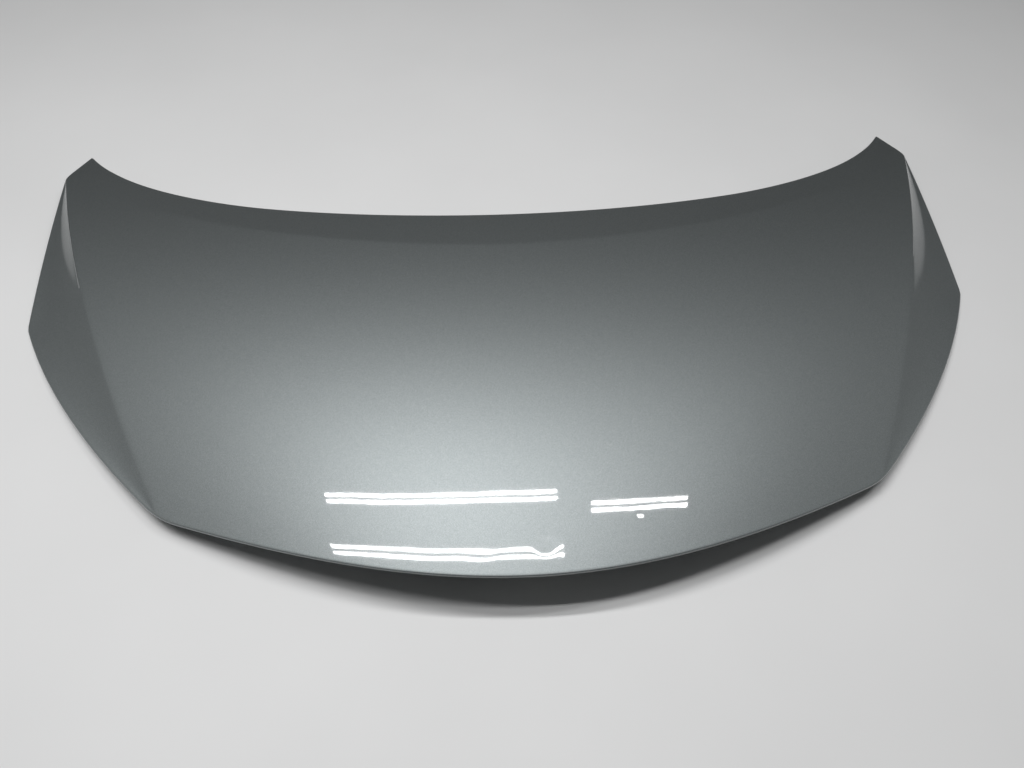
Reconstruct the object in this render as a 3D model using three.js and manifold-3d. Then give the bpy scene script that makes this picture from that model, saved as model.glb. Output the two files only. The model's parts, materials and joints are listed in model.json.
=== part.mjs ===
// Car bonnet, lying outer face up as it rests on a floor: on the striker loop and its two side corners.
// Millimetres, +Z up, X across the car, the front edge towards -Y, the windscreen edge towards +Y.
// Every pressing is a height field over the plan: skinHeight(x, y) is the painted outer face, and all
// other pieces take their heights and outlines from it.

import * as THREE from "three";
import { mergeVertices } from "three/addons/utils/BufferGeometryUtils.js";
import Module from "manifold-3d";

const wasm = await Module();
wasm.setup();

// Sheet metal
const skinThickness = 0.8;
const frameThickness = 0.7;
const plateThickness = 1.8;
const seatGap = 0.3; // clearance left between pieces that touch
const hemBead = 0.6; // adhesive on each side of the frame's flange in the hem
const hemGap = frameThickness + 2 * hemBead;
const hemThickness = 2 * skinThickness + hemGap;
const hemReturn = 12; // width of the folded-back strip
const flangeClearance = 0.5; // frame flange to the bend of the hem

// Outline in plan: half of it, the other half is its mirror image
const noseY = -407;
const cowlY = 152;
const frontCorner = { x: 434.5, y: -286.5 };
const shoulder = { x: 696.5, y: 345.5 };
const sideCornerInside = 13; // of the shoulder
const sideCorner = { x: shoulder.x - sideCornerInside, y: 42 };
const hornTaper = 24; // from the shoulder to the tip
const hornTip = { x: shoulder.x - hornTaper, y: 407 };
const noseRoundness = 1.15; // 0 is a parabola, larger is closer to a V
const hornSweep = { share: 0.22, power: 9.6 }; // how late the windscreen edge turns back into the horns
const creaseBow = 18; // how far the crease bows out from a straight line
const sideBow = 0.092; // the same for the headlamp edge, per unit of its width
const wingBow = 3; // and for the edge beside the wing

// Heights of the outer face
const crownHeight = 114;
const crownY = -60;
const crownRadius = 1517; // along the car
const crownPower = 2.07; // across the car
const creaseHeight = { front: 24, middle: 49.3, rear: 32.5 };
const hornTipHeight = 25.5;
const sideCornerHeight = hemThickness; // the folded edge touches the floor here
const facetFlare = 0.35; // slope at the facet's edge, as a share of the slope beside the crease
const facetLand = 17; // straight strip along the facet's edge, which the hem clasps
const band = { width: 71, drop: 5, fadeFrom: 330, fadeTo: 600 }; // flattened strip along the windscreen edge

// Inner frame: a pressed sheet with a flange in the hem, deep channels and cut-outs with raised lips
const flangeWidth = 15;
const channelDepth = 26; // channel floor below the outer face
const lipDrop = 3.5; // room for mastic between a lip and the skin
const lipWidth = 12;
const lipWall = 14; // width in plan of the slope from a lip to the channel floor
const floorInset = { front: 32, crease: 26, rear: 31 }; // where the channel floor starts
const frontBeam = 112;
const rearBeam = 104;
const sideBeam = 104;
const centreRib = 84;
const braceWidth = 100; // diagonal from the striker to the hinge, between the edges of its cut-outs
const braceStart = { x: 60, behindNose: 107 };
const braceEnd = { inboard: 18, behind: 25 }; // from the hinge pad's centre
const cutoutRadius = 22;

// Pads: flat pressed seats in the channel floor
const padWall = 6;
const padSink = 1.5; // a pad lies this far below the lowest point of the floor around it
const hingePad = { width: 44, length: 96, radius: 9, rearGap: 5, creaseGap: 6 }; // gaps to the channel's walls
const hingeBoltInset = 22; // from the pad's ends
const hingeBoltSpacing = hingePad.length - 2 * hingeBoltInset;
const hingeBolt = 8;
const strikerPad = { behindNose: 72, width: 104, length: 56, radius: 12, sink: 11 };
const strikerBoltInset = 19; // from the pad's ends
const strikerBoltSpacing = strikerPad.width - 2 * strikerBoltInset;
const strikerBolt = 8;
const holeClearance = 0.5; // on a bolt's diameter
const bufferPadRadius = 14;
const frontBuffer = { x: 398, fromEdge: 62 };
const sideBuffer = { fromCrease: 58, y: 62 };
const propBush = { fromCrease: 53, y: -118, bore: 9, padRadius: 14 };
const bufferHole = 11;
const bushHole = 17;
const toolingHole = 20;
const toolingShares = { brace: [0.24, 0.5], rear: [0.32, 0.85] }; // along the brace and the rear beam

// Reinforcement trays on top of the hinge and striker pads
const tray = { inset: 8, radius: 6, collarSpread: 2.5, collarWall: 2, height: 7 };

// Striker
const strikerPlate = { endInset: 4, sideInset: 5, thickness: 3, radius: 9 }; // inside the pad's outline
const strikerWire = 9; // diameter
const strikerSpan = 34; // between the middles of its legs
const strikerBend = 12;

// Small parts
const nut = { across: 13, height: 7 };
const boltHead = { across: 13, height: 5.5, flange: 18, flangeHeight: 1.5 };
const boltTip = 3; // thread that stands out of its nut
const buffer = { headRadius: 13, headHeight: 9, barbRadius: 7.2, barbHeight: 6 };
const bush = { flangeRadius: 12, flangeHeight: 2.5, barbRadius: 9.6, barbHeight: 5 };
const masticRadius = 6;

// Fineness of the meshes
const skinColumns = 13; // on each half, out to the crease
const facetSteps = [0.18, 0.44, 0.75, 1];
const rowsToCorner = 9;
const rowsToShoulder = 8;
const rowsInBand = 4;
const edgeStep = 40;
const arcSteps = 6;

const finishes = {
  paint: new THREE.MeshStandardMaterial({ color: 0x8d9498, roughness: 0.32, metalness: 0.75 }),
  primer: new THREE.MeshStandardMaterial({ color: 0x7d8488, roughness: 0.5, metalness: 0.55 }),
  zinc: new THREE.MeshStandardMaterial({ color: 0xa9a695, roughness: 0.38, metalness: 0.9 }),
  rubber: new THREE.MeshStandardMaterial({ color: 0x17181a, roughness: 0.85, metalness: 0 }),
  plastic: new THREE.MeshStandardMaterial({ color: 0x1d1e20, roughness: 0.55, metalness: 0 }),
  mastic: new THREE.MeshStandardMaterial({ color: 0x2f3133, roughness: 0.9, metalness: 0 }),
};

const clamp01 = (v) => Math.min(Math.max(v, 0), 1);
const mix = (a, b, t) => a + (b - a) * t;
const steps = (count) => Array.from({ length: count + 1 }, (_, i) => i / count);

// Outline and outer face

function frontEdgeY(x) {
  const bend = (s) => Math.sqrt(1 + (noseRoundness * s) ** 2) - 1;
  return noseY + ((frontCorner.y - noseY) * bend(x / frontCorner.x)) / bend(1);
}

function rearEdgeY(x) {
  const s = Math.abs(x) / hornTip.x;
  const sweep = (1 - hornSweep.share) * s ** 2 + hornSweep.share * s ** hornSweep.power;
  return cowlY + (hornTip.y - cowlY) * sweep;
}

const alongCrease = (y) => (y - frontCorner.y) / (shoulder.y - frontCorner.y);

// Half width of the crowned middle: the crease up to the shoulder, then the horn's outer edge.
function creaseX(y) {
  const t = alongCrease(y);
  if (t > 1) return mix(shoulder.x, hornTip.x, (y - shoulder.y) / (hornTip.y - shoulder.y));
  return mix(frontCorner.x, shoulder.x, t) + creaseBow * 4 * t * (1 - t);
}

// A parabola through the crease's three heights, bent on past the shoulder to meet the horn's tip.
function creaseZ(y) {
  const { front, middle, rear } = creaseHeight;
  const rise = 4 * middle - 3 * front - rear;
  const fall = 2 * front + 2 * rear - 4 * middle;
  const t = alongCrease(y);
  if (t <= 1) return front + rise * t + fall * t * t;
  const u = (y - shoulder.y) / (hornTip.y - shoulder.y);
  const slope = (rise + 2 * fall) * alongCrease(frontCorner.y + hornTip.y - shoulder.y);
  return rear + slope * u + (hornTipHeight - rear - slope) * u * u;
}

// Free edge of the facet outside the crease: beside the headlamp up to the side corner, then beside the wing.
function facetEdge(y) {
  if (y <= sideCorner.y) {
    const t = (y - frontCorner.y) / (sideCorner.y - frontCorner.y);
    return {
      x: mix(frontCorner.x, sideCorner.x, t + 4 * sideBow * t * (1 - t)),
      z: mix(creaseHeight.front, sideCornerHeight, t),
    };
  }
  const t = (y - sideCorner.y) / (shoulder.y - sideCorner.y);
  return {
    x: mix(sideCorner.x, shoulder.x, t) + wingBow * 4 * t * (1 - t),
    z: mix(sideCornerHeight, creaseHeight.rear, t),
  };
}

// Width in y of the flattened strip: its front line runs out at the shoulder.
function bandWidth(x) {
  const atShoulder = rearEdgeY(shoulder.x) - shoulder.y;
  return mix(band.width, atShoulder, (x / shoulder.x) ** 4);
}

// Share of the facet's drop at a share w of its width: the slope eases off towards the edge, and is
// even over the last strip.
function facetDrop(w, width) {
  const curved = Math.max(1 - facetLand / width, 0);
  const start = 1 / (((1 + facetFlare) / 2) * curved + facetFlare * (1 - curved));
  const into = Math.min(w, curved);
  const eased = curved > 0 ? start * (into - ((1 - facetFlare) * into ** 2) / (2 * curved)) : 0;
  return eased + start * facetFlare * Math.max(w - curved, 0);
}

function skinHeight(x, y) {
  const a = Math.abs(x);
  const half = creaseX(y);
  const side = creaseZ(y);
  if (a > half) {
    const edge = facetEdge(y);
    const width = Math.max(edge.x - half, 1e-6);
    return side - (side - edge.z) * facetDrop(clamp01((a - half) / width), width);
  }
  const crown = crownHeight - (y - crownY) ** 2 / (2 * crownRadius);
  const fade = clamp01((a - band.fadeFrom) / (band.fadeTo - band.fadeFrom));
  const kept = 1 - fade * fade * (3 - 2 * fade);
  const inBand = clamp01(1 - (rearEdgeY(x) - y) / bandWidth(x));
  return crown - (crown - side) * (a / half) ** crownPower - band.drop * inBand * kept;
}

// Meshes from points

// A closed mesh from triangles of points; the ones that have shrunk to a line are left out.
function meshFrom(triangles) {
  const soup = new THREE.BufferGeometry();
  soup.setAttribute("position", new THREE.Float32BufferAttribute(triangles.flat(2), 3));
  const merged = mergeVertices(soup, 1e-4);
  const kept = [];
  const index = merged.index.array;
  for (let i = 0; i < index.length; i += 3) {
    const [a, b, c] = index.slice(i, i + 3);
    if (a !== b && b !== c && c !== a) kept.push(a, b, c);
  }
  merged.setIndex(kept);
  return merged;
}

const quad = (a, b, c, d) => [[a, b, c], [a, c, d]];

// The strip between two loops of as many points, facing right of the loops' direction when b is below a.
function strip(a, b, closed = true) {
  const out = [];
  const last = closed ? a.length : a.length - 1;
  for (let i = 0; i < last; i++) {
    const j = (i + 1) % a.length;
    out.push(...quad(a[i], b[i], b[j], a[j]));
  }
  return out;
}

const flipped = (triangles) => triangles.map(([a, b, c]) => [a, c, b]);
const lowered = (triangles, by) => triangles.map((t) => t.map(([x, y, z]) => [x, y, z - by]));
const lift = (loop, height) => loop.map(([x, y]) => [x, y, height(x, y)]);
const mirrored = (loop) => loop.map(([x, y]) => [-x, y]).reverse();

// Loops in plan

function distance(p, q) {
  return Math.hypot(p[0] - q[0], p[1] - q[1]);
}

// Positions of a line's points along it, from 0 to 1.
function fractions(line) {
  const sums = [0];
  for (let i = 1; i < line.length; i++) sums.push(sums[i - 1] + distance(line[i], line[i - 1]));
  return sums.map((s) => s / sums.at(-1));
}

function pointAt(line, where, f) {
  let i = 1;
  while (i < line.length - 1 && where[i] < f) i++;
  const t = (f - where[i - 1]) / (where[i] - where[i - 1]);
  return [mix(line[i - 1][0], line[i][0], t), mix(line[i - 1][1], line[i][1], t)];
}

// A line moved to its left by a distance, and drawn out at both ends.
function moved(line, by) {
  const out = line.map((p, i) => {
    const before = line[Math.max(i - 1, 0)];
    const after = line[Math.min(i + 1, line.length - 1)];
    const length = distance(before, after);
    return [p[0] - ((after[1] - before[1]) / length) * by, p[1] + ((after[0] - before[0]) / length) * by];
  });
  const reach = (p, q) => {
    const t = 1 + (4 * by + 1) / distance(p, q);
    return [mix(p[0], q[0], t), mix(p[1], q[1], t)];
  };
  return [reach(out[1], out[0]), ...out, reach(out.at(-2), out.at(-1))];
}

// Where two lines cross: the places counted in segments along each.
function crossing(first, second) {
  for (let i = first.length - 2; i >= 0; i--)
    for (let j = 0; j < second.length - 1; j++) {
      const [p, q, r, s] = [first[i], first[i + 1], second[j], second[j + 1]];
      const d = (q[0] - p[0]) * (s[1] - r[1]) - (q[1] - p[1]) * (s[0] - r[0]);
      if (Math.abs(d) < 1e-12) continue;
      const t = ((r[0] - p[0]) * (s[1] - r[1]) - (r[1] - p[1]) * (s[0] - r[0])) / d;
      const u = ((r[0] - p[0]) * (q[1] - p[1]) - (r[1] - p[1]) * (q[0] - p[0])) / d;
      if (t >= 0 && t <= 1 && u >= 0 && u <= 1)
        return { i, j, at: [mix(p[0], q[0], t), mix(p[1], q[1], t)] };
    }
  throw new Error("two edges of the outline no longer meet at this inset");
}

// A closed outline of lines, each moved inwards by its own distance, cut where it meets the next
// and given as many points as it had. The lines run anticlockwise seen from above.
function inset(lines, distances) {
  const lanes = lines.map((line, k) => moved(line, distances[k]));
  const corners = lanes.map((lane, k) => crossing(lane, lanes[(k + 1) % lanes.length]));
  return lines.flatMap((line, k) => {
    const start = corners[(k + lines.length - 1) % lines.length];
    const end = corners[k];
    const trimmed = [start.at, ...lanes[k].slice(start.j + 1, end.i + 1), end.at];
    const where = fractions(trimmed);
    return fractions(line).slice(0, -1).map((f) => pointAt(trimmed, where, f));
  });
}

// A polygon with round corners, grown outwards: arcs about the fillets' centres, joined by straight
// stretches. Corners run anticlockwise; every growth of one polygon has as many points.
function roundedLoop(corners, radius, grow = 0) {
  const n = corners.length;
  const fillets = corners.map((p, i) => {
    const q = corners[(i + n - 1) % n];
    const r = corners[(i + 1) % n];
    const enter = Math.atan2(p[1] - q[1], p[0] - q[0]);
    let turn = Math.atan2(r[1] - p[1], r[0] - p[0]) - enter;
    if (turn < 0) turn += 2 * Math.PI;
    const back = radius * Math.tan(turn / 2);
    const centre = [
      p[0] - back * Math.cos(enter) - radius * Math.sin(enter),
      p[1] - back * Math.sin(enter) + radius * Math.cos(enter),
    ];
    return { centre, enter, turn };
  });
  const points = fillets.map(({ centre, enter, turn }) =>
    steps(arcSteps).map((t) => {
      const a = enter + turn * t - Math.PI / 2;
      return [centre[0] + (radius + grow) * Math.cos(a), centre[1] + (radius + grow) * Math.sin(a)];
    }),
  );
  return points.flatMap((arc, i) => {
    const from = arc.at(-1);
    const to = points[(i + 1) % n][0];
    const length = distance(fillets[i].centre, fillets[(i + 1) % n].centre);
    const pieces = Math.max(Math.round(length / edgeStep), 1);
    const between = steps(pieces).slice(1, -1).map((t) => [mix(from[0], to[0], t), mix(from[1], to[1], t)]);
    return [...arc, ...between];
  });
}

function rectangle(x, y, width, length) {
  const [w, l] = [width / 2, length / 2];
  return [[x - w, y - l], [x + w, y - l], [x + w, y + l], [x - w, y + l]];
}

function circle(x, y, radius, count = 12) {
  return steps(count).slice(0, -1).map((t) => [
    x + radius * Math.cos(2 * Math.PI * t),
    y + radius * Math.sin(2 * Math.PI * t),
  ]);
}

// Triangles over a region with holes, with edges swapped until no triangle is needlessly long.
function fill(contour, holes) {
  const vectors = (loop) => loop.map(([x, y]) => new THREE.Vector2(x, y));
  const points = [contour, ...holes].flat();
  const faces = THREE.ShapeUtils.triangulateShape(vectors(contour), holes.map(vectors));
  const fixed = new Set();
  let start = 0;
  for (const loop of [contour, ...holes]) {
    loop.forEach((_, i) => fixed.add(key(start + i, start + ((i + 1) % loop.length))));
    start += loop.length;
  }
  swapEdges(points, faces, fixed);
  return { points, faces };
}

function key(a, b) {
  return a < b ? `${a},${b}` : `${b},${a}`;
}

function swapEdges(points, faces, fixed) {
  for (let round = 0; round < 60; round++) {
    const owners = new Map();
    faces.forEach((face, f) => {
      for (let i = 0; i < 3; i++) {
        const k = key(face[i], face[(i + 1) % 3]);
        owners.set(k, [...(owners.get(k) ?? []), f]);
      }
    });
    const touched = new Set();
    let swaps = 0;
    for (const [k, [f, g]] of owners) {
      if (g === undefined || fixed.has(k) || touched.has(f) || touched.has(g)) continue;
      const i = faces[f].findIndex((v, n) => key(v, faces[f][(n + 1) % 3]) === k);
      const [a, b, c] = [faces[f][i], faces[f][(i + 1) % 3], faces[f][(i + 2) % 3]];
      const d = faces[g].find((v) => v !== a && v !== b);
      if (owners.has(key(c, d)) || !roundTest(points[a], points[b], points[c], points[d])) continue;
      faces[f] = [c, a, d];
      faces[g] = [c, d, b];
      touched.add(f).add(g);
      owners.set(key(c, d), []);
      swaps++;
    }
    if (!swaps) return;
  }
}

// True where d lies inside the circle through the anticlockwise triangle a, b, c.
function roundTest(a, b, c, d) {
  const row = (p) => [p[0] - d[0], p[1] - d[1], (p[0] - d[0]) ** 2 + (p[1] - d[1]) ** 2];
  const [p, q, r] = [row(a), row(b), row(c)];
  const minor = (i, j) => q[i] * r[j] - q[j] * r[i];
  return p[0] * minor(1, 2) - p[1] * minor(0, 2) + p[2] * minor(0, 1) > 1e-6;
}

const raise = ({ points, faces }, height) =>
  faces.map((face) => face.map((v) => [points[v][0], points[v][1], height(...points[v])]));

// Outer skin

// Rows of plan points over the whole outer face: the crowned middle is a grid between the front edge
// and the band's front line, the band a grid behind it, and the facets are rows across to their edge.
function skinRows() {
  const shares = [
    ...steps(rowsToCorner).map((t) => t * alongCrease(sideCorner.y)),
    ...steps(rowsToShoulder).slice(1).map((t) => mix(alongCrease(sideCorner.y), 1, t)),
  ];
  const across = steps(skinColumns).slice(1).map((t) => Math.sin(t * 1.25) / Math.sin(1.25));
  const halves = (row) => [...row.slice(1).map(([x, y]) => [-x, y]).reverse(), ...row];
  const bandFront = (x) => rearEdgeY(x) - bandWidth(x);
  const inBand = (x, v) => [x, rearEdgeY(x) - (1 - v) * bandWidth(x)];
  const rows = shares.map((t) => {
    const sideY = mix(frontCorner.y, shoulder.y, t);
    const middle = [0, ...across].map((s) => [
      s * creaseX(sideY),
      mix(frontEdgeY(s * frontCorner.x), bandFront(s * shoulder.x), t),
    ]);
    middle[middle.length - 1] = [creaseX(sideY), sideY];
    const facetWidth = facetEdge(sideY).x - creaseX(sideY);
    const corner = middle.at(-1);
    const facet = facetSteps.map((w) => (facetWidth > 1e-6 ? [corner[0] + w * facetWidth, sideY] : corner));
    return halves([...middle, ...facet]);
  });
  for (const v of steps(rowsInBand).slice(1)) {
    const width = mix(shoulder.x, hornTip.x, v);
    const middle = [0, ...across].map((s) => inBand(s * width, v));
    middle[middle.length - 1] = [width, mix(shoulder.y, hornTip.y, v)];
    rows.push(halves([...middle, ...facetSteps.map(() => middle.at(-1))]));
  }
  return rows;
}

// The rows' outer points as eight lines: front, headlamp, wing and horn edges, rear, and the mirror images.
function outlineOf(rows) {
  const facets = facetSteps.length;
  const ends = rows.map((row) => row.at(-1));
  const corner = rowsToCorner;
  const shoulderRow = rowsToCorner + rowsToShoulder;
  const headlamp = ends.slice(0, corner + 1);
  const wing = ends.slice(corner, shoulderRow + 1);
  const horn = ends.slice(shoulderRow);
  const front = rows[0].slice(facets, -facets);
  const rear = rows.at(-1).slice(facets, -facets).reverse();
  return [front, headlamp, wing, horn, rear, mirrored(horn), mirrored(wing), mirrored(headlamp)];
}

// The outline without its facets, with as many points: front, crease and horn, rear, horn and crease.
function creaseOutline([front, headlamp, wing, horn, rear]) {
  const side = [...headlamp, ...wing.slice(1), ...horn.slice(1)].map(([, y]) => [creaseX(y), y]);
  return [front, side, rear, mirrored(side)];
}

function makeOuterSkin() {
  const rows = skinRows();
  const lines = outlineOf(rows);
  const loopAt = (by) => inset(lines, lines.map(() => by));
  const rim = lines.flatMap((line) => line.slice(0, -1));
  const bend = loopAt(skinThickness);
  const place = new Map(rim.map((p, i) => [p.join(), bend[i]]));
  const face = rows.map((row) => lift(row.map((p) => place.get(p.join()) ?? p), skinHeight));
  const top = [];
  for (let i = 0; i < face.length - 1; i++) top.push(...strip(face[i + 1], face[i], false));
  const at = (loop, below) => lift(loop, (x, y) => skinHeight(x, y) - below);
  const folded = loopAt(hemReturn);
  const inside = hemThickness - skinThickness;
  const sections = [at(bend, 0), at(rim, skinThickness), at(rim, inside), at(bend, hemThickness)];
  const hem = [
    ...sections.slice(1).flatMap((loop, i) => strip(sections[i], loop)),
    ...strip(at(bend, hemThickness), at(folded, hemThickness)),
    ...strip(at(folded, hemThickness), at(folded, inside)),
    ...flipped(strip(at(bend, inside), at(folded, inside))),
    ...strip(at(bend, inside), at(bend, skinThickness)),
  ];
  return meshFrom([...top, ...hem, ...flipped(lowered(top, skinThickness))]);
}

// Inner frame

const flangeTop = (x, y) => skinHeight(x, y) - skinThickness - hemBead;
const lipTop = (x, y) => skinHeight(x, y) - skinThickness - lipDrop;
const floorTop = (x, y) => skinHeight(x, y) - channelDepth;

// The place where a function changes its sign between two limits.
function solve(f, from, to) {
  const sign = Math.sign(f(from));
  for (let i = 0; i < 50; i++) {
    const middle = (from + to) / 2;
    if (Math.sign(f(middle)) === sign) from = middle;
    else to = middle;
  }
  return from;
}

// Centre of the right hinge pad: its rear inner corner stands off the channel's rear wall and its outer
// side off the wall along the crease. Each depends on the other, so they are found by turns.
function hingeCentre() {
  const halfWidth = hingePad.width / 2 + padWall;
  const halfLength = hingePad.length / 2 + padWall;
  let { x, y } = sideCorner;
  for (let i = 0; i < 40; i++) {
    y = rearEdgeY(x - halfWidth) - floorInset.rear - hingePad.rearGap - halfLength;
    const straightFrom = y - halfLength + hingePad.radius + padWall;
    x = creaseX(straightFrom) - floorInset.crease - hingePad.creaseGap - halfWidth;
  }
  return { x, y };
}

const hinge = hingeCentre();

// The diagonal brace: its middle line, and its two sides in plan.
const brace = {
  from: [braceStart.x, noseY + braceStart.behindNose],
  to: [hinge.x - braceEnd.inboard, hinge.y + braceEnd.behind],
};
const braceSlope = (brace.to[0] - brace.from[0]) / (brace.to[1] - brace.from[1]);
const braceOffset = (braceWidth / 2) * Math.hypot(1, braceSlope);
const braceSide = (y, side) => brace.from[0] + (y - brace.from[1]) * braceSlope + side * braceOffset;

// The two cut-outs of one half, each a triangle between the beams.
function cutouts() {
  const rib = centreRib / 2;
  const rearLine = (x) => rearEdgeY(x) - rearBeam;
  const frontLine = (x) => frontEdgeY(x) + frontBeam;
  const sideLine = (y) => creaseX(y) - sideBeam;
  const tipY = solve((y) => braceSide(y, -1) - rib, noseY, cowlY);
  const cornerY = solve((y) => y - rearLine(braceSide(y, -1)), tipY, shoulder.y);
  const inner = [[rib, tipY], [braceSide(cornerY, -1), cornerY], [rib, rearLine(rib)]];
  const startY = solve((y) => y - frontLine(braceSide(y, 1)), noseY, cowlY);
  const frontX = solve((x) => x - sideLine(frontLine(x)), 0, frontCorner.x);
  const apexY = solve((y) => braceSide(y, 1) - sideLine(y), startY, shoulder.y);
  const outer = [[braceSide(startY, 1), startY], [frontX, frontLine(frontX)], [braceSide(apexY, 1), apexY]];
  return { inner, outer };
}

// Flat seats in the channel floor, each with its outline and holes and the level of its upper face.
function padLevel(points, sink = padSink) {
  return Math.min(...points.map(([x, y]) => floorTop(x, y))) - sink;
}

function squarePad(x, y, size, holes, sink) {
  const corners = rectangle(x, y, size.width, size.length);
  const edge = roundedLoop(corners, size.radius, padWall);
  return { x, y, edge, seat: roundedLoop(corners, size.radius), holes, level: padLevel(edge, sink) };
}

function roundPad(x, y, radius, hole) {
  const loop = (r) => circle(x, y, r, 14);
  const edge = loop(radius + padWall);
  return { x, y, edge, seat: loop(radius), holes: [loop(hole / 2)], level: padLevel(edge) };
}

function hingeSeat(side) {
  const holes = [-1, 1].map((end) =>
    circle(side * hinge.x, hinge.y + (end * hingeBoltSpacing) / 2, (hingeBolt + holeClearance) / 2),
  );
  return squarePad(side * hinge.x, hinge.y, hingePad, holes);
}

function strikerSeat() {
  const y = noseY + strikerPad.behindNose;
  const bore = (strikerBolt + holeClearance) / 2;
  const holes = [-1, 1].map((end) => circle((end * strikerBoltSpacing) / 2, y, bore));
  return squarePad(0, y, strikerPad, holes, strikerPad.sink);
}

function frontBufferSeat(side) {
  const y = frontEdgeY(frontBuffer.x) + frontBuffer.fromEdge;
  return roundPad(side * frontBuffer.x, y, bufferPadRadius, bufferHole);
}

function sideBufferSeat(side) {
  const x = creaseX(sideBuffer.y) - sideBuffer.fromCrease;
  return roundPad(side * x, sideBuffer.y, bufferPadRadius, bufferHole);
}

function bushSeat() {
  const x = creaseX(propBush.y) - propBush.fromCrease;
  return roundPad(-x, propBush.y, propBush.padRadius, bushHole);
}

const seats = {
  striker: strikerSeat(),
  hinges: [hingeSeat(-1), hingeSeat(1)],
  buffers: [frontBufferSeat(-1), frontBufferSeat(1), sideBufferSeat(-1), sideBufferSeat(1)],
  bush: bushSeat(),
};

// Locating holes in the channel floor, along the braces and in the middle of the rear beam.
function toolingHoles() {
  const onBrace = (t) => [mix(brace.from[0], brace.to[0], t), mix(brace.from[1], brace.to[1], t)];
  const alongBrace = toolingShares.brace.map(onBrace);
  const [, outerEnd, ribEnd] = cutouts().inner; // the side of the cut-out along the rear beam
  const alongRear = toolingShares.rear.map((t) => {
    const x = mix(ribEnd[0], outerEnd[0], t);
    const cutoutSide = mix(ribEnd[1], outerEnd[1], t) + lipWidth + lipWall;
    return [x, (rearEdgeY(x) - floorInset.rear + cutoutSide) / 2];
  });
  const half = [...alongBrace, ...alongRear];
  return [...half, ...half.map(([x, y]) => [-x, y])].map(([x, y]) => circle(x, y, toolingHole / 2));
}

function makeInnerFrame() {
  const full = outlineOf(skinRows());
  const clearance = skinThickness + flangeClearance;
  const rim = inset(full, full.map(() => clearance));
  const clasped = inset(full, full.map(() => hemReturn));
  const foot = inset(full, full.map(() => flangeWidth));
  const { front, crease, rear } = floorInset;
  const floorEdge = inset(creaseOutline(full), [front, crease, rear, crease]);
  const { inner, outer } = cutouts();
  const openings = [inner, outer, mirrored(inner), mirrored(outer)].map((corners) =>
    [0, lipWidth, lipWidth + lipWall].map((grow) => roundedLoop(corners, cutoutRadius, grow)),
  );
  const pads = [seats.striker, ...seats.hinges, ...seats.buffers, seats.bush];
  const tooling = toolingHoles();

  const floor = fill(floorEdge, [...openings.map((o) => o[2]), ...pads.map((p) => p.edge), ...tooling]);
  const sheet = [
    ...flipped(strip(lift(rim, flangeTop), lift(clasped, flangeTop))),
    ...flipped(strip(lift(clasped, flangeTop), lift(foot, flangeTop))),
    ...flipped(strip(lift(foot, flangeTop), lift(floorEdge, floorTop))),
    ...raise(floor, floorTop),
  ];
  for (const [edge, lip, wall] of openings) {
    sheet.push(...strip(lift(edge, lipTop), lift(lip, lipTop)));
    sheet.push(...strip(lift(lip, lipTop), lift(wall, floorTop)));
  }
  for (const pad of pads) {
    const level = () => pad.level;
    sheet.push(...flipped(strip(lift(pad.edge, floorTop), lift(pad.seat, level))));
    sheet.push(...raise(fill(pad.seat, pad.holes), level));
  }
  const below = (loop) => loop.map(([x, y, z]) => [x, y, z - frameThickness]);
  const cut = (loop) => flipped(strip(loop, below(loop)));
  const edges = [
    ...strip(lift(rim, flangeTop), below(lift(rim, flangeTop))),
    ...openings.flatMap(([edge]) => cut(lift(edge, lipTop))),
    ...tooling.flatMap((loop) => cut(lift(loop, floorTop))),
    ...pads.flatMap((pad) => pad.holes.flatMap((hole) => cut(lift(hole, () => pad.level)))),
  ];
  return meshFrom([...sheet, ...edges, ...flipped(lowered(sheet, frameThickness))]);
}

// Plates, bolts and nuts

function solidOf(geometry) {
  const bare = geometry.index ? geometry.toNonIndexed() : geometry.clone();
  bare.deleteAttribute("normal");
  bare.deleteAttribute("uv");
  const merged = mergeVertices(bare, 1e-4);
  return new wasm.Manifold(
    new wasm.Mesh({
      numProp: 3,
      vertProperties: merged.attributes.position.array,
      triVerts: new Uint32Array(merged.index.array),
    }),
  );
}

function geometryOf(solid) {
  const { vertProperties, triVerts } = solid.getMesh();
  const geometry = new THREE.BufferGeometry();
  geometry.setAttribute("position", new THREE.Float32BufferAttribute(vertProperties, 3));
  geometry.setIndex([...triVerts]);
  return geometry;
}

// A flat plate with holes: its outline and holes are loops in plan, its underside lies at z.
function plate(loop, holes, z, thickness) {
  const shape = new THREE.Shape(loop.map(([x, y]) => new THREE.Vector2(x, y)));
  shape.holes = holes.map((hole) => new THREE.Path(hole.map(([x, y]) => new THREE.Vector2(x, y))));
  return new THREE.ExtrudeGeometry(shape, { depth: thickness, bevelEnabled: false }).translate(0, 0, z);
}

// A plate pressed with a turned-up edge, its flat underside at z: it reinforces a seat of the given size.
function trayPlate(seat, size, holes) {
  const z = seat.level + seatGap;
  const corners = rectangle(seat.x, seat.y, size.width - 2 * tray.inset, size.length - 2 * tray.inset);
  const at = (grow, height) => roundedLoop(corners, tray.radius, grow).map(([x, y]) => [x, y, z + height]);
  const base = fill(roundedLoop(corners, tray.radius), holes);
  const sections = [
    at(0, plateThickness),
    at(tray.collarSpread - tray.collarWall, tray.height),
    at(tray.collarSpread, tray.height),
    at(0, 0),
  ];
  const bore = (hole) =>
    flipped(strip(hole.map(([x, y]) => [x, y, z + plateThickness]), hole.map(([x, y]) => [x, y, z])));
  return meshFrom([
    ...raise(base, () => z + plateThickness),
    ...sections.slice(1).flatMap((loop, i) => strip(sections[i], loop)),
    ...flipped(raise(base, () => z)),
    ...holes.flatMap(bore),
  ]);
}

const hexagon = (x, y, across) => circle(x, y, across / Math.sqrt(3), 6);

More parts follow.
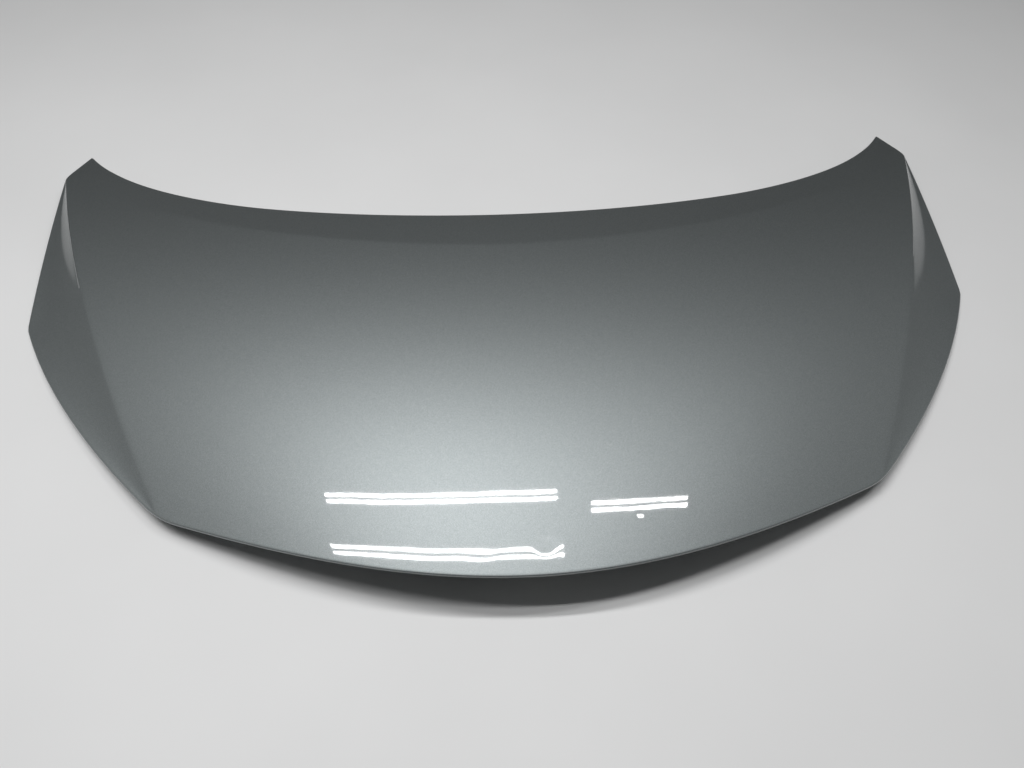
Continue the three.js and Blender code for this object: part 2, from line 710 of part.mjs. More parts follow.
function weldNut(x, y, z, bolt) {
  return plate(hexagon(x, y, nut.across), [circle(x, y, bolt / 2)], z, nut.height);
}

// A flanged hexagon bolt with its head below: its flange's upper face lies at z.
function flangeBolt(x, y, z, diameter, length) {
  const { flangeHeight } = boltHead;
  const flange = solidOf(plate(circle(x, y, boltHead.flange / 2, 18), [], z - flangeHeight, flangeHeight));
  const head = solidOf(plate(hexagon(x, y, boltHead.across), [], z - boltHead.height, boltHead.height));
  const shank = solidOf(plate(circle(x, y, diameter / 2 - seatGap), [], z - flangeHeight / 2, length));
  return geometryOf(flange.add(head).add(shank));
}

// A turned shape about a vertical axis through x, y: its profile is radius and height, from the bottom up.
function turned(x, y, z, profile, segments = 16) {
  const points = profile.map(([r, h]) => new THREE.Vector2(r, h));
  return new THREE.LatheGeometry(points, segments).rotateX(Math.PI / 2).translate(x, y, z);
}

// A push-in rubber stop: a domed head under its seat, a neck through the hole and a barb above.
function rubberBuffer(seat) {
  const { headRadius, headHeight, barbRadius, barbHeight } = buffer;
  const neck = bufferHole / 2 - seatGap;
  const under = -frameThickness - seatGap;
  const barbFoot = seatGap;
  return turned(seat.x, seat.y, seat.level, [
    [0, under - headHeight],
    [headRadius * 0.55, under - headHeight + 0.6],
    [headRadius * 0.86, under - headHeight + 2.4],
    [headRadius, under - headHeight * 0.5],
    [headRadius, under],
    [neck, under],
    [neck, barbFoot],
    [barbRadius, barbFoot],
    [barbRadius, barbFoot + 1.2],
    [neck * 0.8, barbFoot + barbHeight],
    [0, barbFoot + barbHeight],
  ]);
}

// A clipped-in ring that takes the end of the prop rod.
function propRodBush(seat) {
  const { flangeRadius, flangeHeight, barbRadius, barbHeight } = bush;
  const bore = propBush.bore / 2;
  const neck = bushHole / 2 - seatGap;
  const under = -frameThickness - seatGap;
  return turned(seat.x, seat.y, seat.level, [
    [bore, under - flangeHeight],
    [flangeRadius - 1, under - flangeHeight],
    [flangeRadius, under - flangeHeight + 1],
    [flangeRadius, under],
    [neck, under],
    [neck, seatGap],
    [barbRadius, seatGap],
    [barbRadius, seatGap + 1],
    [bore + 1.5, seatGap + barbHeight],
    [bore, seatGap + barbHeight],
    [bore, under - flangeHeight],
  ]);
}

// The striker's wire as a curve: down one leg, round two bends and up the other.
class StrikerPath extends THREE.Curve {
  constructor(y, top, bottom) {
    super();
    this.y = y;
    this.leg = top - bottom - strikerBend;
    this.flat = strikerSpan - 2 * strikerBend;
    this.bottom = bottom;
  }

  getPoint(t, target = new THREE.Vector3()) {
    const arc = (Math.PI / 2) * strikerBend;
    const half = this.leg + arc + this.flat / 2;
    const along = Math.abs(2 * t - 1) * half;
    const side = Math.sign(2 * t - 1);
    if (along <= this.flat / 2) return target.set(side * along, this.y, this.bottom);
    const turn = Math.min(Math.max((along - this.flat / 2) / strikerBend, 0), Math.PI / 2);
    const x = this.flat / 2 + strikerBend * Math.sin(turn);
    const up = Math.max(along - this.flat / 2 - arc, 0);
    return target.set(side * x, this.y, this.bottom + strikerBend * (1 - Math.cos(turn)) + up);
  }
}

function strikerLoop(y, top) {
  const path = new StrikerPath(y, top, strikerWire / 2);
  const section = new THREE.Shape(circle(0, 0, strikerWire / 2).map(([x, z]) => new THREE.Vector2(x, z)));
  return new THREE.ExtrudeGeometry(section, { steps: 26, extrudePath: path, bevelEnabled: false });
}

// A dab of mastic squeezed between a lip of the frame and the skin.
function masticDab(x, y) {
  const levels = [
    [0.8, 0],
    [1, 0.5],
    [0.85, 1],
  ];
  const loops = levels.map(([share, up]) =>
    lift(circle(x, y, masticRadius * share, 10), (px, py) =>
      mix(lipTop(px, py) + seatGap, skinHeight(px, py) - skinThickness - seatGap, up),
    ),
  );
  const lid = (loop) => loop.slice(1, -1).map((_, i) => [loop[0], loop[i + 1], loop[i + 2]]);
  return meshFrom([
    ...lid(loops[2]),
    ...strip(loops[2], loops[1]),
    ...strip(loops[1], loops[0]),
    ...flipped(lid(loops[0])),
  ]);
}

// Assembly

const bonnet = new THREE.Group();
bonnet.name = "bonnet";

function add(name, geometry, finish) {
  const mesh = new THREE.Mesh(geometry, finishes[finish]);
  mesh.name = name;
  bonnet.add(mesh);
}

add("outer_skin", makeOuterSkin(), "paint");
add("inner_frame", makeInnerFrame(), "primer");

seats.hinges.forEach((seat, i) => {
  const side = ["left", "right"][i];
  add(`hinge_reinforcement_${side}`, trayPlate(seat, hingePad, seat.holes), "zinc");
  [-1, 1].forEach((end) => {
    const y = seat.y + (end * hingeBoltSpacing) / 2;
    const z = seat.level + plateThickness + 2 * seatGap;
    add(`hinge_weld_nut_${side}_${end < 0 ? "front" : "rear"}`, weldNut(seat.x, y, z, hingeBolt), "zinc");
  });
});

const { striker } = seats;
const plateTop = striker.level - frameThickness - seatGap;
const legHole = strikerWire / 2 + seatGap;
const legHoles = [-1, 1].map((side) => circle((side * strikerSpan) / 2, striker.y, legHole, 16));
const plateHoles = [...striker.holes, ...legHoles];
const plateWidth = strikerPad.width - 2 * strikerPlate.endInset;
const plateLength = strikerPad.length - 2 * strikerPlate.sideInset;
const plateOutline = roundedLoop(rectangle(0, striker.y, plateWidth, plateLength), strikerPlate.radius);
add("striker_reinforcement", trayPlate(striker, strikerPad, striker.holes), "zinc");
const plateFoot = plateTop - strikerPlate.thickness;
add("striker_plate", plate(plateOutline, plateHoles, plateFoot, strikerPlate.thickness), "zinc");
add("striker_loop", strikerLoop(striker.y, plateTop), "zinc");
["left", "right"].forEach((side, i) => {
  const x = ((i * 2 - 1) * strikerBoltSpacing) / 2;
  const headTop = plateFoot - seatGap;
  const nutFoot = striker.level + plateThickness + 2 * seatGap;
  const length = nutFoot + nut.height + boltTip - headTop;
  add(`striker_weld_nut_${side}`, weldNut(x, striker.y, nutFoot, strikerBolt), "zinc");
  add(`striker_bolt_${side}`, flangeBolt(x, striker.y, headTop, strikerBolt, length), "zinc");
});

["front_left", "front_right", "side_left", "side_right"].forEach((place, i) => {
  add(`rubber_buffer_${place}`, rubberBuffer(seats.buffers[i]), "rubber");
});
add("prop_rod_bush", propRodBush(seats.bush), "plastic");

// Mastic dabs stand on the lips of the cut-outs, spaced evenly round each of them.
const dabsPerCutout = 4;
Object.entries(cutouts()).forEach(([place, corners]) => {
  const lip = roundedLoop(corners, cutoutRadius, lipWidth / 2);
  for (let i = 0; i < dabsPerCutout; i++) {
    const [x, y] = lip[Math.floor(((i + 0.35) * lip.length) / dabsPerCutout)];
    add(`mastic_dab_${place}_right_${i + 1}`, masticDab(x, y), "mastic");
    add(`mastic_dab_${place}_left_${i + 1}`, masticDab(-x, y), "mastic");
  }
});

export default bonnet;
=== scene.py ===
import json
import math

import bmesh
import bpy
import numpy as np
from mathutils import Matrix, Vector
from mathutils.geometry import delaunay_2d_cdt


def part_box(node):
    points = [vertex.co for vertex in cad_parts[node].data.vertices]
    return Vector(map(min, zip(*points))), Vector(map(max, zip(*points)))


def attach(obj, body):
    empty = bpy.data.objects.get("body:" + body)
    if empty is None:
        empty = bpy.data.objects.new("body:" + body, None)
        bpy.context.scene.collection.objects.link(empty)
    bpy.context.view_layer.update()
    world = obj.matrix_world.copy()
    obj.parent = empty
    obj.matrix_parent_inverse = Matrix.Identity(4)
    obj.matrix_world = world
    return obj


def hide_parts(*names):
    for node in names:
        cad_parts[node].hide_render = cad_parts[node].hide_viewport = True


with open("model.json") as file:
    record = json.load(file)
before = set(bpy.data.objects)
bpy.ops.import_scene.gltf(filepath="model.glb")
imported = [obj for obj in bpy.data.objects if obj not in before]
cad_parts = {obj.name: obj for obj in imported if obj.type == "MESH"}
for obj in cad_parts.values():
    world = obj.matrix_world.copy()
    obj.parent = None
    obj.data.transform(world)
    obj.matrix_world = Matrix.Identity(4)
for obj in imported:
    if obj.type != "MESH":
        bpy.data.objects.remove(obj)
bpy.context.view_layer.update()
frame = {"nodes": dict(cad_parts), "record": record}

print("stage 1: packed model loaded,", len(frame["nodes"]), "nodes")

mm = 0.001  # lengths below are in millimetres unless a note says otherwise
weldDistance = 0.002


def addObject(name, data):
    made = bpy.data.objects.new(name, data)
    bpy.context.collection.objects.link(made)
    return made


# Camera: a phone held at standing height, looking down on the panel

cameraSettings = {
    "place": (-73.0, -772.6, 876.0),
    "pitchDown": 52.0,  # degrees below the horizon
    "turn": 5.55,  # towards +X
    "roll": 1.811,
    "focal": 814.8 / 1024,  # focal length as a share of the picture's width
}


def addCamera(settings):
    pitch, turn, roll = (math.radians(settings[k]) for k in ("pitchDown", "turn", "roll"))
    ahead = Vector((math.sin(turn), math.cos(turn), 0))
    forward = ahead * math.cos(pitch) - Vector((0, 0, math.sin(pitch)))
    level = Vector((math.cos(turn), -math.sin(turn), 0))
    upright = level.cross(forward)
    right = level * math.cos(roll) + upright * math.sin(roll)
    up = upright * math.cos(roll) - level * math.sin(roll)
    data = bpy.data.cameras.new("camera")
    data.sensor_width = 36
    data.lens = data.sensor_width * settings["focal"]
    camera = addObject("camera", data)
    turned = Matrix((right, up, -forward)).transposed().to_4x4()
    camera.matrix_world = Matrix.Translation(Vector(settings["place"]) * mm) @ turned
    bpy.context.scene.camera = camera


addCamera(cameraSettings)
print("stage 2: camera set")


# The pressing's outer face, the same formulas as the solid's, with rounded creases and corners

panel = {
    "noseY": -407.0,
    "cowlY": 152.0,
    "frontCorner": (434.5, -286.5),
    "sideCorner": (683.5, 42.0),
    "shoulder": (696.5, 345.5),
    "hornTip": (672.5, 407.0),
    "noseRoundness": 1.15,
    "hornShare": 0.22,
    "hornPower": 9.6,
    "creaseBow": 18.0,
    "sideBow": 0.092,
    "wingBow": 3.0,
    "crownHeight": 114.0,
    "crownY": -60.0,
    "crownRadius": 1517.0,
    "crownPower": 2.07,
    "creaseHeights": (24.0, 49.3, 32.5),
    "hornTipHeight": 25.5,
    "sideCornerHeight": 3.5,
    "facetFlare": 0.35,
    "facetLand": 5.0,
    "bandWidths": (82.0, 54.0),  # in the middle and at its turn
    "bandTurn": 470.0,
    "bandDrop": 7.5,
    "bandFade": (350.0, 640.0),
    "bandSoftness": 0.02,  # of the band's width
    "creaseRound": (0.8, 0.25),  # drop at the crease's middle: front end, shoulder
    "creaseFade": 16.0,  # width of the facet below which the crease's rounding fades
    "cornerCuts": (24.0, 5.0, 17.0, 4.0),  # reach of a corner's round: front, side, shoulder, horn tip
}


def blend(a, b, t):
    return a + (b - a) * t


def smooth(t):
    t = np.clip(t, 0, 1)
    return t * t * (3 - 2 * t)


def fullTurn(count):
    return np.arange(count) * 2 * math.pi / count


# y of the front edge: a hyperbola through the nose and the front corners
def frontEdge(x):
    k, (cornerX, cornerY) = panel["noseRoundness"], panel["frontCorner"]
    bend = lambda s: np.sqrt(1 + (k * s) ** 2) - 1
    return panel["noseY"] + (cornerY - panel["noseY"]) * bend(x / cornerX) / bend(1.0)


# y of the windscreen edge: a parabola plus a high power that turns it back into the horns
def rearEdge(x):
    s = np.abs(x) / panel["hornTip"][0]
    share = panel["hornShare"]
    sweep = (1 - share) * s**2 + share * s ** panel["hornPower"]
    return panel["cowlY"] + (panel["hornTip"][1] - panel["cowlY"]) * sweep


def alongCrease(y):
    return (y - panel["frontCorner"][1]) / (panel["shoulder"][1] - panel["frontCorner"][1])


def alongHorn(y):
    return (y - panel["shoulder"][1]) / (panel["hornTip"][1] - panel["shoulder"][1])


# half width of the crowned middle: a line bowed outwards, then the horn's outer edge
def creaseX(y):
    t = alongCrease(y)
    line = blend(panel["frontCorner"][0], panel["shoulder"][0], t) + panel["creaseBow"] * 4 * t * (1 - t)
    horn = blend(panel["shoulder"][0], panel["hornTip"][0], alongHorn(y))
    return np.where(t > 1, horn, line)


# height of the crease: a parabola through three heights, then another that meets the horn's tip
def creaseZ(y):
    front, middle, rear = panel["creaseHeights"]
    rise = 4 * middle - 3 * front - rear
    fall = 2 * front + 2 * rear - 4 * middle
    t, u = alongCrease(y), alongHorn(y)
    hornLength = panel["hornTip"][1] - panel["shoulder"][1]
    slope = (rise + 2 * fall) * hornLength / (panel["shoulder"][1] - panel["frontCorner"][1])
    horn = rear + slope * u + (panel["hornTipHeight"] - rear - slope) * u * u
    return np.where(t > 1, horn, front + rise * t + fall * t * t)


# free edge outside the crease: beside the headlamp up to the side corner, then beside the wing
def facetEdge(y):
    (frontX, frontY), (sideX, sideY) = panel["frontCorner"], panel["sideCorner"]
    shoulderX, shoulderY = panel["shoulder"]
    low, rear = panel["sideCornerHeight"], panel["creaseHeights"][2]
    t = (y - frontY) / (sideY - frontY)
    u = (y - sideY) / (shoulderY - sideY)
    lampX = blend(frontX, sideX, t + 4 * panel["sideBow"] * t * (1 - t))
    wingX = blend(sideX, shoulderX, u) + panel["wingBow"] * 4 * u * (1 - u)
    onWing = y > sideY
    x = np.where(onWing, wingX, lampX)
    z = np.where(onWing, blend(low, rear, u), blend(panel["creaseHeights"][0], low, t))
    return x, z


# depth of the flattened strip along the windscreen edge: narrows by a power of 1.5 to its turn and beyond,
# and eases from there to the shoulder
def bandDepth(x):
    (shoulderX, shoulderY), turnX = panel["shoulder"], panel["bandTurn"]
    narrowing = blend(*panel["bandWidths"], (np.abs(x) / turnX) ** 1.5)
    atShoulder = rearEdge(shoulderX) - shoulderY
    return blend(narrowing, atShoulder, smooth((np.abs(x) - turnX) / (shoulderX - turnX)))


# height of the painted face: crown - (crown - side) (|x| / half)^p - band in the middle, and a steep
# start easing to an even slope on the facet; the lower of the two, joined by a hyperbola at the crease
def skinHeight(x, y):
    a = np.abs(x)
    half, side = creaseX(y), creaseZ(y)
    crown = panel["crownHeight"] - (y - panel["crownY"]) ** 2 / (2 * panel["crownRadius"])
    kept = 1 - smooth((a - panel["bandFade"][0]) / (panel["bandFade"][1] - panel["bandFade"][0]))
    inBand = 1 - (rearEdge(x) - y) / bandDepth(x)
    soft = panel["bandSoftness"]
    inBand = (inBand + np.sqrt(inBand**2 + soft**2)) / 2
    middle = crown - (crown - side) * (a / half) ** panel["crownPower"]
    middle = middle - panel["bandDrop"] * inBand * kept
    edgeX, edgeZ = facetEdge(y)
    flare = panel["facetFlare"]
    width = np.maximum(edgeX - half, 1e-3)
    w = (a - half) / width
    curved = np.clip(1 - panel["facetLand"] / width, 0, 1)
    start = 1 / ((1 + flare) / 2 * curved + flare * (1 - curved))
    into = np.clip(w, 0, curved)
    eased = start * (into - (1 - flare) * into**2 / (2 * np.maximum(curved, 1e-3)))
    drop = eased + start * flare * np.maximum(w - curved, 0)
    drop = drop + np.minimum(w, 0) * blend(1.0, start, smooth(2 * curved))
    facet = side - (side - edgeZ) * drop
    t = alongCrease(y)
    rounding = blend(*panel["creaseRound"], np.clip(t, 0, 1)) * smooth(width / panel["creaseFade"])
    rounded = (middle + facet) / 2 - np.sqrt(((middle - facet) / 2) ** 2 + rounding**2)
    hasFacet = (t > 0) & (t < 1) & (width > 0.5)
    return np.where(hasFacet, rounded, middle)


# Outline of the right half: front, headlamp, wing, horn and windscreen edges, each moved inwards,
# cut where it meets the next and rounded there with a quadratic curve

def outlineLines(count=500):
    t = np.linspace(0, 1, count)
    front, corner, shoulder, tip = (panel[k] for k in ("frontCorner", "sideCorner", "shoulder", "hornTip"))
    frontX, rearX = front[0] * t, tip[0] * (1 - t)
    lampY, wingY = blend(front[1], corner[1], t), blend(corner[1], shoulder[1], t)
    return [
        np.column_stack([frontX, frontEdge(frontX)]),
        np.column_stack([facetEdge(lampY)[0], lampY]),
        np.column_stack([facetEdge(wingY + 1e-9)[0], wingY]),
        np.column_stack([blend(shoulder[0], tip[0], t), blend(shoulder[1], tip[1], t)]),
        np.column_stack([rearX, rearEdge(rearX)]),
    ]


# unit vectors along a line and to its left
def directions(line):
    along = np.gradient(line, axis=0)
    along /= np.linalg.norm(along, axis=1)[:, None]
    return along, np.column_stack([-along[:, 1], along[:, 0]])


# a line moved sideways along its normals, with its ends drawn out so that it still meets the next
def movedIn(line, distance):
    along, left = directions(line)
    out = line + left * distance
    reach = 4 * distance + 1
    return np.vstack([out[0] - along[0] * reach, out, out[-1] + along[-1] * reach])


# where two lines cross: all pairs of their segments at once
def crossing(first, second):
    p, r = first[:-1, None], np.diff(first, axis=0)[:, None]
    q, s = second[None, :-1], np.diff(second, axis=0)[None]
    cross = lambda a, b: a[..., 0] * b[..., 1] - a[..., 1] * b[..., 0]
    d = cross(r, s)
    d = np.where(np.abs(d) < 1e-12, 1e-12, d)
    t, u = cross(q - p, s) / d, cross(q - p, r) / d
    i, j = (found[0] for found in np.nonzero((t >= 0) & (t <= 1) & (u >= 0) & (u <= 1)))
    return i, j, first[i] + t[i, j] * (first[i + 1] - first[i])


def lengthsAlong(line):
    return np.concatenate([[0], np.cumsum(np.linalg.norm(np.diff(line, axis=0), axis=1))])


def pointsAt(line, distances):
    where = lengthsAlong(line)
    return np.column_stack([np.interp(distances, where, line[:, k]) for k in (0, 1)])


def evenPoints(line, count):
    return pointsAt(line, np.linspace(0, lengthsAlong(line)[-1], count + 1)[:-1])


# corner rounded by a quadratic curve from the first point to the last
def fillet(start, corner, end, steps=6):
    s = np.linspace(0, 1, steps + 1)[:, None]
    start, corner, end = (np.array(p, float) for p in (start, corner, end))
    return (1 - s) ** 2 * start + 2 * s * (1 - s) * corner + s**2 * end


# lines moved inwards, cut at their meetings; a corner's curve keeps its centre as the distance grows
def trimmedLines(lines, distances, cuts, leastReach=0.6, halfSteps=16):
    lanes = [movedIn(line, distance) for line, distance in zip(lines, distances)]
    meets = [crossing(a, b) for a, b in zip(lanes[:-1], lanes[1:])]
    trimmed = []
    for k, lane in enumerate(lanes):
        start = meets[k - 1][1] + 1 if k else 1
        end = meets[k][0] + 1 if k < len(meets) else len(lane) - 1
        first = [meets[k - 1][2]] if k else []
        last = [meets[k][2]] if k < len(meets) else []
        trimmed.append(np.vstack([*first, lane[start:end], *last]))
    trimmed[0][0, 0] = 0
    trimmed[-1][-1, 0] = 0
    for k, cut in enumerate(cuts):
        before, after = trimmed[k], trimmed[k + 1]
        distance = min(distances[k], distances[k + 1])
        turnIn = before[-1] - before[-2]
        turnOut = after[1] - after[0]
        turn = math.atan2(np.cross(turnIn, turnOut), np.dot(turnIn, turnOut))
        reach = max(cut - distance * math.tan(abs(turn) / 2), leastReach)
        lengthBefore = lengthsAlong(before)[-1]
        a, b = pointsAt(before, [lengthBefore - reach])[0], pointsAt(after, [reach])[0]
        arc = fillet(a, before[-1], b, 2 * halfSteps)
        keepBefore = lengthsAlong(before) < lengthBefore - reach
        keepAfter = lengthsAlong(after) > reach
        trimmed[k] = np.vstack([before[keepBefore], arc[: halfSteps + 1]])
        trimmed[k + 1] = np.vstack([arc[halfSteps:], after[keepAfter]])
    return trimmed


def outlineAt(distance):
    return trimmedLines(outlineLines(), [distance] * 5, panel["cornerCuts"])


# Meshes: faces are rows of vertex numbers, points are in millimetres

def atDepth(ring, depth):
    return np.column_stack([ring, skinHeight(*ring.T) - depth])


def atLevel(ring, level):
    return np.column_stack([ring, np.full(len(ring), level)])


# quads between the rows of a grid of numbered points; closed rows join their last point to the first
def gridFaces(rows, columns, first=0, closed=False):
    number = np.arange(rows * columns).reshape(rows, columns) + first
    if closed:
        number = np.column_stack([number, number[:, 0]])
    corners = number[:-1, :-1], number[:-1, 1:], number[1:, 1:], number[1:, :-1]
    return np.column_stack([corner.ravel() for corner in corners])


# triangles turned so that they face upwards, by the sign of their area in plan
def facingUp(points, faces):
    plan = points[faces][:, :, :2]
    first, second = plan[:, 1] - plan[:, 0], plan[:, 2] - plan[:, 0]
    down = first[:, 0] * second[:, 1] - first[:, 1] * second[:, 0] < 0
    return np.where(down[:, None], faces[:, ::-1], faces)


# object from points and faces; a mirrored one gets its other half across x = 0
def makePiece(name, slot, node, shape, mirrored=False, sharpDegrees=None):
    points, faces = np.asarray(shape[0], float) * mm, [tuple(int(v) for v in f) for f in shape[1]]
    if mirrored:
        count = len(points)
        points = np.vstack([points, points * (-1, 1, 1)])
        faces = faces + [tuple(v + count for v in reversed(f)) for f in faces]
    mesh = bpy.data.meshes.new(name)
    mesh.from_pydata(points.tolist(), [], faces)
    work = bmesh.new()
    work.from_mesh(mesh)
    bmesh.ops.remove_doubles(work, verts=work.verts, dist=weldDistance * mm)
    bmesh.ops.dissolve_degenerate(work, edges=work.edges, dist=weldDistance * mm / 2)
    loose = [v for v in work.verts if not v.link_faces]
    bmesh.ops.delete(work, geom=loose, context="VERTS")
    work.to_mesh(mesh)
    work.free()
    mesh.materials.append(finishes[slot])
    mesh.shade_smooth()
    if sharpDegrees:
        mesh.set_sharp_from_angle(angle=math.radians(sharpDegrees))
    piece = addObject(name, mesh)
    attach(piece, "root")
    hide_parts(node)
    return len(mesh.polygons)


# Materials

# inputs are set, or linked where the value is another node's output
def setInputs(tree, node, inputs):
    for socket, value in inputs.items():
        if isinstance(value, bpy.types.NodeSocket):
            tree.links.new(value, node.inputs[socket])
        else:
            node.inputs[socket].default_value = value


def addNode(tree, kind, inputs=()):
    node = tree.nodes.new("ShaderNode" + kind)
    setInputs(tree, node, dict(inputs))
    return node


def newMaterial(name):
    material = bpy.data.materials.new(name)
    material.use_nodes = True
    tree = material.node_tree
    return material, tree, tree.nodes["Principled BSDF"], addNode(tree, "TexCoord").outputs["Object"]


def noise(tree, place, scale, detail=2.0, roughness=0.5):
    inputs = {"Vector": place, "Scale": scale, "Detail": detail, "Roughness": roughness}
    return addNode(tree, "TexNoise", inputs).outputs["Fac"]


def ramp(tree, value, first, last, stops=(0.3, 0.7)):
    node = addNode(tree, "ValToRGB", {"Fac": value})
    for element, position, colour in zip(node.color_ramp.elements, stops, (first, last)):
        element.position = position
        element.color = (*colour, 1)
    return node.outputs["Color"]


def mathNode(tree, operation, *values, kind="Math"):
    node = addNode(tree, kind, dict(enumerate(values)))
    node.operation = operation
    return node.outputs["Value"]


def bump(tree, height, strength, distance, normal=None):
    node = addNode(tree, "Bump", {"Height": height, "Strength": strength, "Distance": distance})
    if normal:
        setInputs(tree, node, {"Normal": normal})
    return node.outputs["Normal"]


paintSettings = {
    "dark": (0.248, 0.27, 0.273),
    "light": (0.339, 0.366, 0.369),
    "toneStops": (0.15, 0.9),
    "roughness": 0.54,
    "flakeScale": 2400,  # per metre
    "flakeTilt": 0.1,
    "flakeDepth": 0.0002,  # metres
    "waves": [(14, 0.00011), (110, 0.000006)],  # per metre and height in metres: sheet, orange peel
    "dents": [  # place, reach and depth in millimetres
        ((7.0, -372.0, 78.0), 20.0, 0.15),
        ((-62.0, -371.0, 78.0), 26.0, 0.05),
        ((116.0, -345.0, 84.0), 6.0, 0.16),
    ],
}


# sum of noises, each centred on zero, times its height
def surfaceWaves(tree, place, waves):
    total = 0.0
    for scale, height in waves:
        wave = mathNode(tree, "SUBTRACT", noise(tree, place, scale, 1.0), 0.5)
        total = mathNode(tree, "MULTIPLY_ADD", wave, height, total)
    return total


# dents added to a relief: minus depth times a smooth fall from 1 at the middle to 0 at the reach
def addDents(tree, place, dents, relief):
    for middle, reach, depth in dents:
        apart = mathNode(tree, "DISTANCE", place, Vector(middle) * mm, kind="VectorMath")
        inputs = {"Value": apart, "From Max": reach * mm, "To Min": -depth * mm, "To Max": 0.0}
        fall = addNode(tree, "MapRange", inputs)
        fall.interpolation_type = "SMOOTHERSTEP"
        relief = mathNode(tree, "ADD", fall.outputs["Result"], relief)
    return relief


# Silver grey metallic: flake cells of two greys under a clear coat, over the sheet's waves and dents
def bodyPaint(settings):
    material, tree, shader, place = newMaterial("body_paint")
    cells = addNode(tree, "TexVoronoi", {"Vector": place, "Scale": settings["flakeScale"]})
    split = addNode(tree, "SeparateColor", {"Color": cells.outputs["Color"]})
    tones = settings["dark"], settings["light"], settings["toneStops"]
    waves = surfaceWaves(tree, place, settings["waves"])
    shape = bump(tree, addDents(tree, place, settings["dents"], waves), 1.0, 1.0)
    setInputs(tree, shader, {
        "Base Color": ramp(tree, split.outputs["Red"], *tones),
        "Metallic": 1.0,
        "Roughness": settings["roughness"],
        "Normal": bump(tree, split.outputs["Green"], settings["flakeTilt"], settings["flakeDepth"], shape),
        "Coat Weight": 1.0,
        "Coat Roughness": 0.03,
        "Coat IOR": 1.5,
        "Coat Normal": shape,
    })
    return material


innerSettings = {
    "dark": (0.13, 0.14, 0.143),
    "light": (0.22, 0.234, 0.24),
    "mottleScale": 9,  # per metre
    "roughness": 0.5,
    "grain": (900, 0.0001),  # per metre and depth in metres
}


# Overspray on primer: the body colour, thin and uneven, with a fine dry grain
def innerPaint(settings):
    material, tree, shader, place = newMaterial("inner_paint")
    mottle = noise(tree, place, settings["mottleScale"], 5.0, 0.6)
    grainScale, grainDepth = settings["grain"]
    setInputs(tree, shader, {
        "Base Color": ramp(tree, mottle, settings["dark"], settings["light"]),
        "Metallic": 0.5,
        "Roughness": settings["roughness"],
        "Normal": bump(tree, noise(tree, place, grainScale), 0.3, grainDepth),
    })
    return material


# dark and light tone, mottle per metre, roughness, metallic, grain per metre and its depth in metres
plainFinishes = {
    "zinc_steel": ((0.42, 0.4, 0.33), (0.62, 0.6, 0.52), 60, 0.36, 0.95, 1400, 0.00003),
    "black_rubber": ((0.016, 0.016, 0.017), (0.035, 0.035, 0.036), 90, 0.75, 0.0, 1600, 0.00008),
    "black_plastic": ((0.02, 0.02, 0.022), (0.04, 0.04, 0.043), 120, 0.5, 0.0, 2200, 0.00005),
    "mastic": ((0.035, 0.035, 0.036), (0.075, 0.075, 0.077), 150, 0.8, 0.0, 700, 0.0003),
}


# Plated steel, rubber, plastic and mastic: two tones from noise, a fifth more or less rough, and a grain
def grainy(name, dark, light, scale, roughness, metallic, grainScale, grainDepth):
    material, tree, shader, place = newMaterial(name)
    mottle = noise(tree, place, scale, 4.0, 0.6)
    smoother, rougher = roughness * 0.8, min(roughness * 1.2, 1)
    setInputs(tree, shader, {
        "Base Color": ramp(tree, mottle, dark, light),
        "Roughness": ramp(tree, mottle, (smoother,) * 3, (rougher,) * 3),
        "Metallic": metallic,
        "Normal": bump(tree, noise(tree, place, grainScale, 3.0), 0.4, grainDepth),
    })
    return material


finishes = {"body_paint": bodyPaint(paintSettings), "inner_paint": innerPaint(innerSettings)}
for name, values in plainFinishes.items():
    finishes[name] = grainy(name, *values)
for row in frame["record"]["subparts"]:
    node = frame["nodes"][row["node"]]
    node.data.materials.clear()
    node.data.materials.append(finishes[row["material_slot"]])
print("stage 3: finishes made")


# Outer skin: a grid between the rounded outline and x = 0, closed by a folded hem

skin = {
    "thickness": 0.8,
    "hemThickness": 3.5,
    "hemReturn": 12.0,
    "hemRows": (5.0, 8.5),  # from the edge
    "columns": 84,  # from the middle to the crease
    "columnCrowding": 1.35,  # towards the crease
    "facetColumns": 26,
    "facetCrowding": 0.35,
    "rows": 108,  # front edge to the strip
    "rowCrowding": 0.5,  # towards both ends
    "bandRows": 24,
    "bendSteps": 8,
}


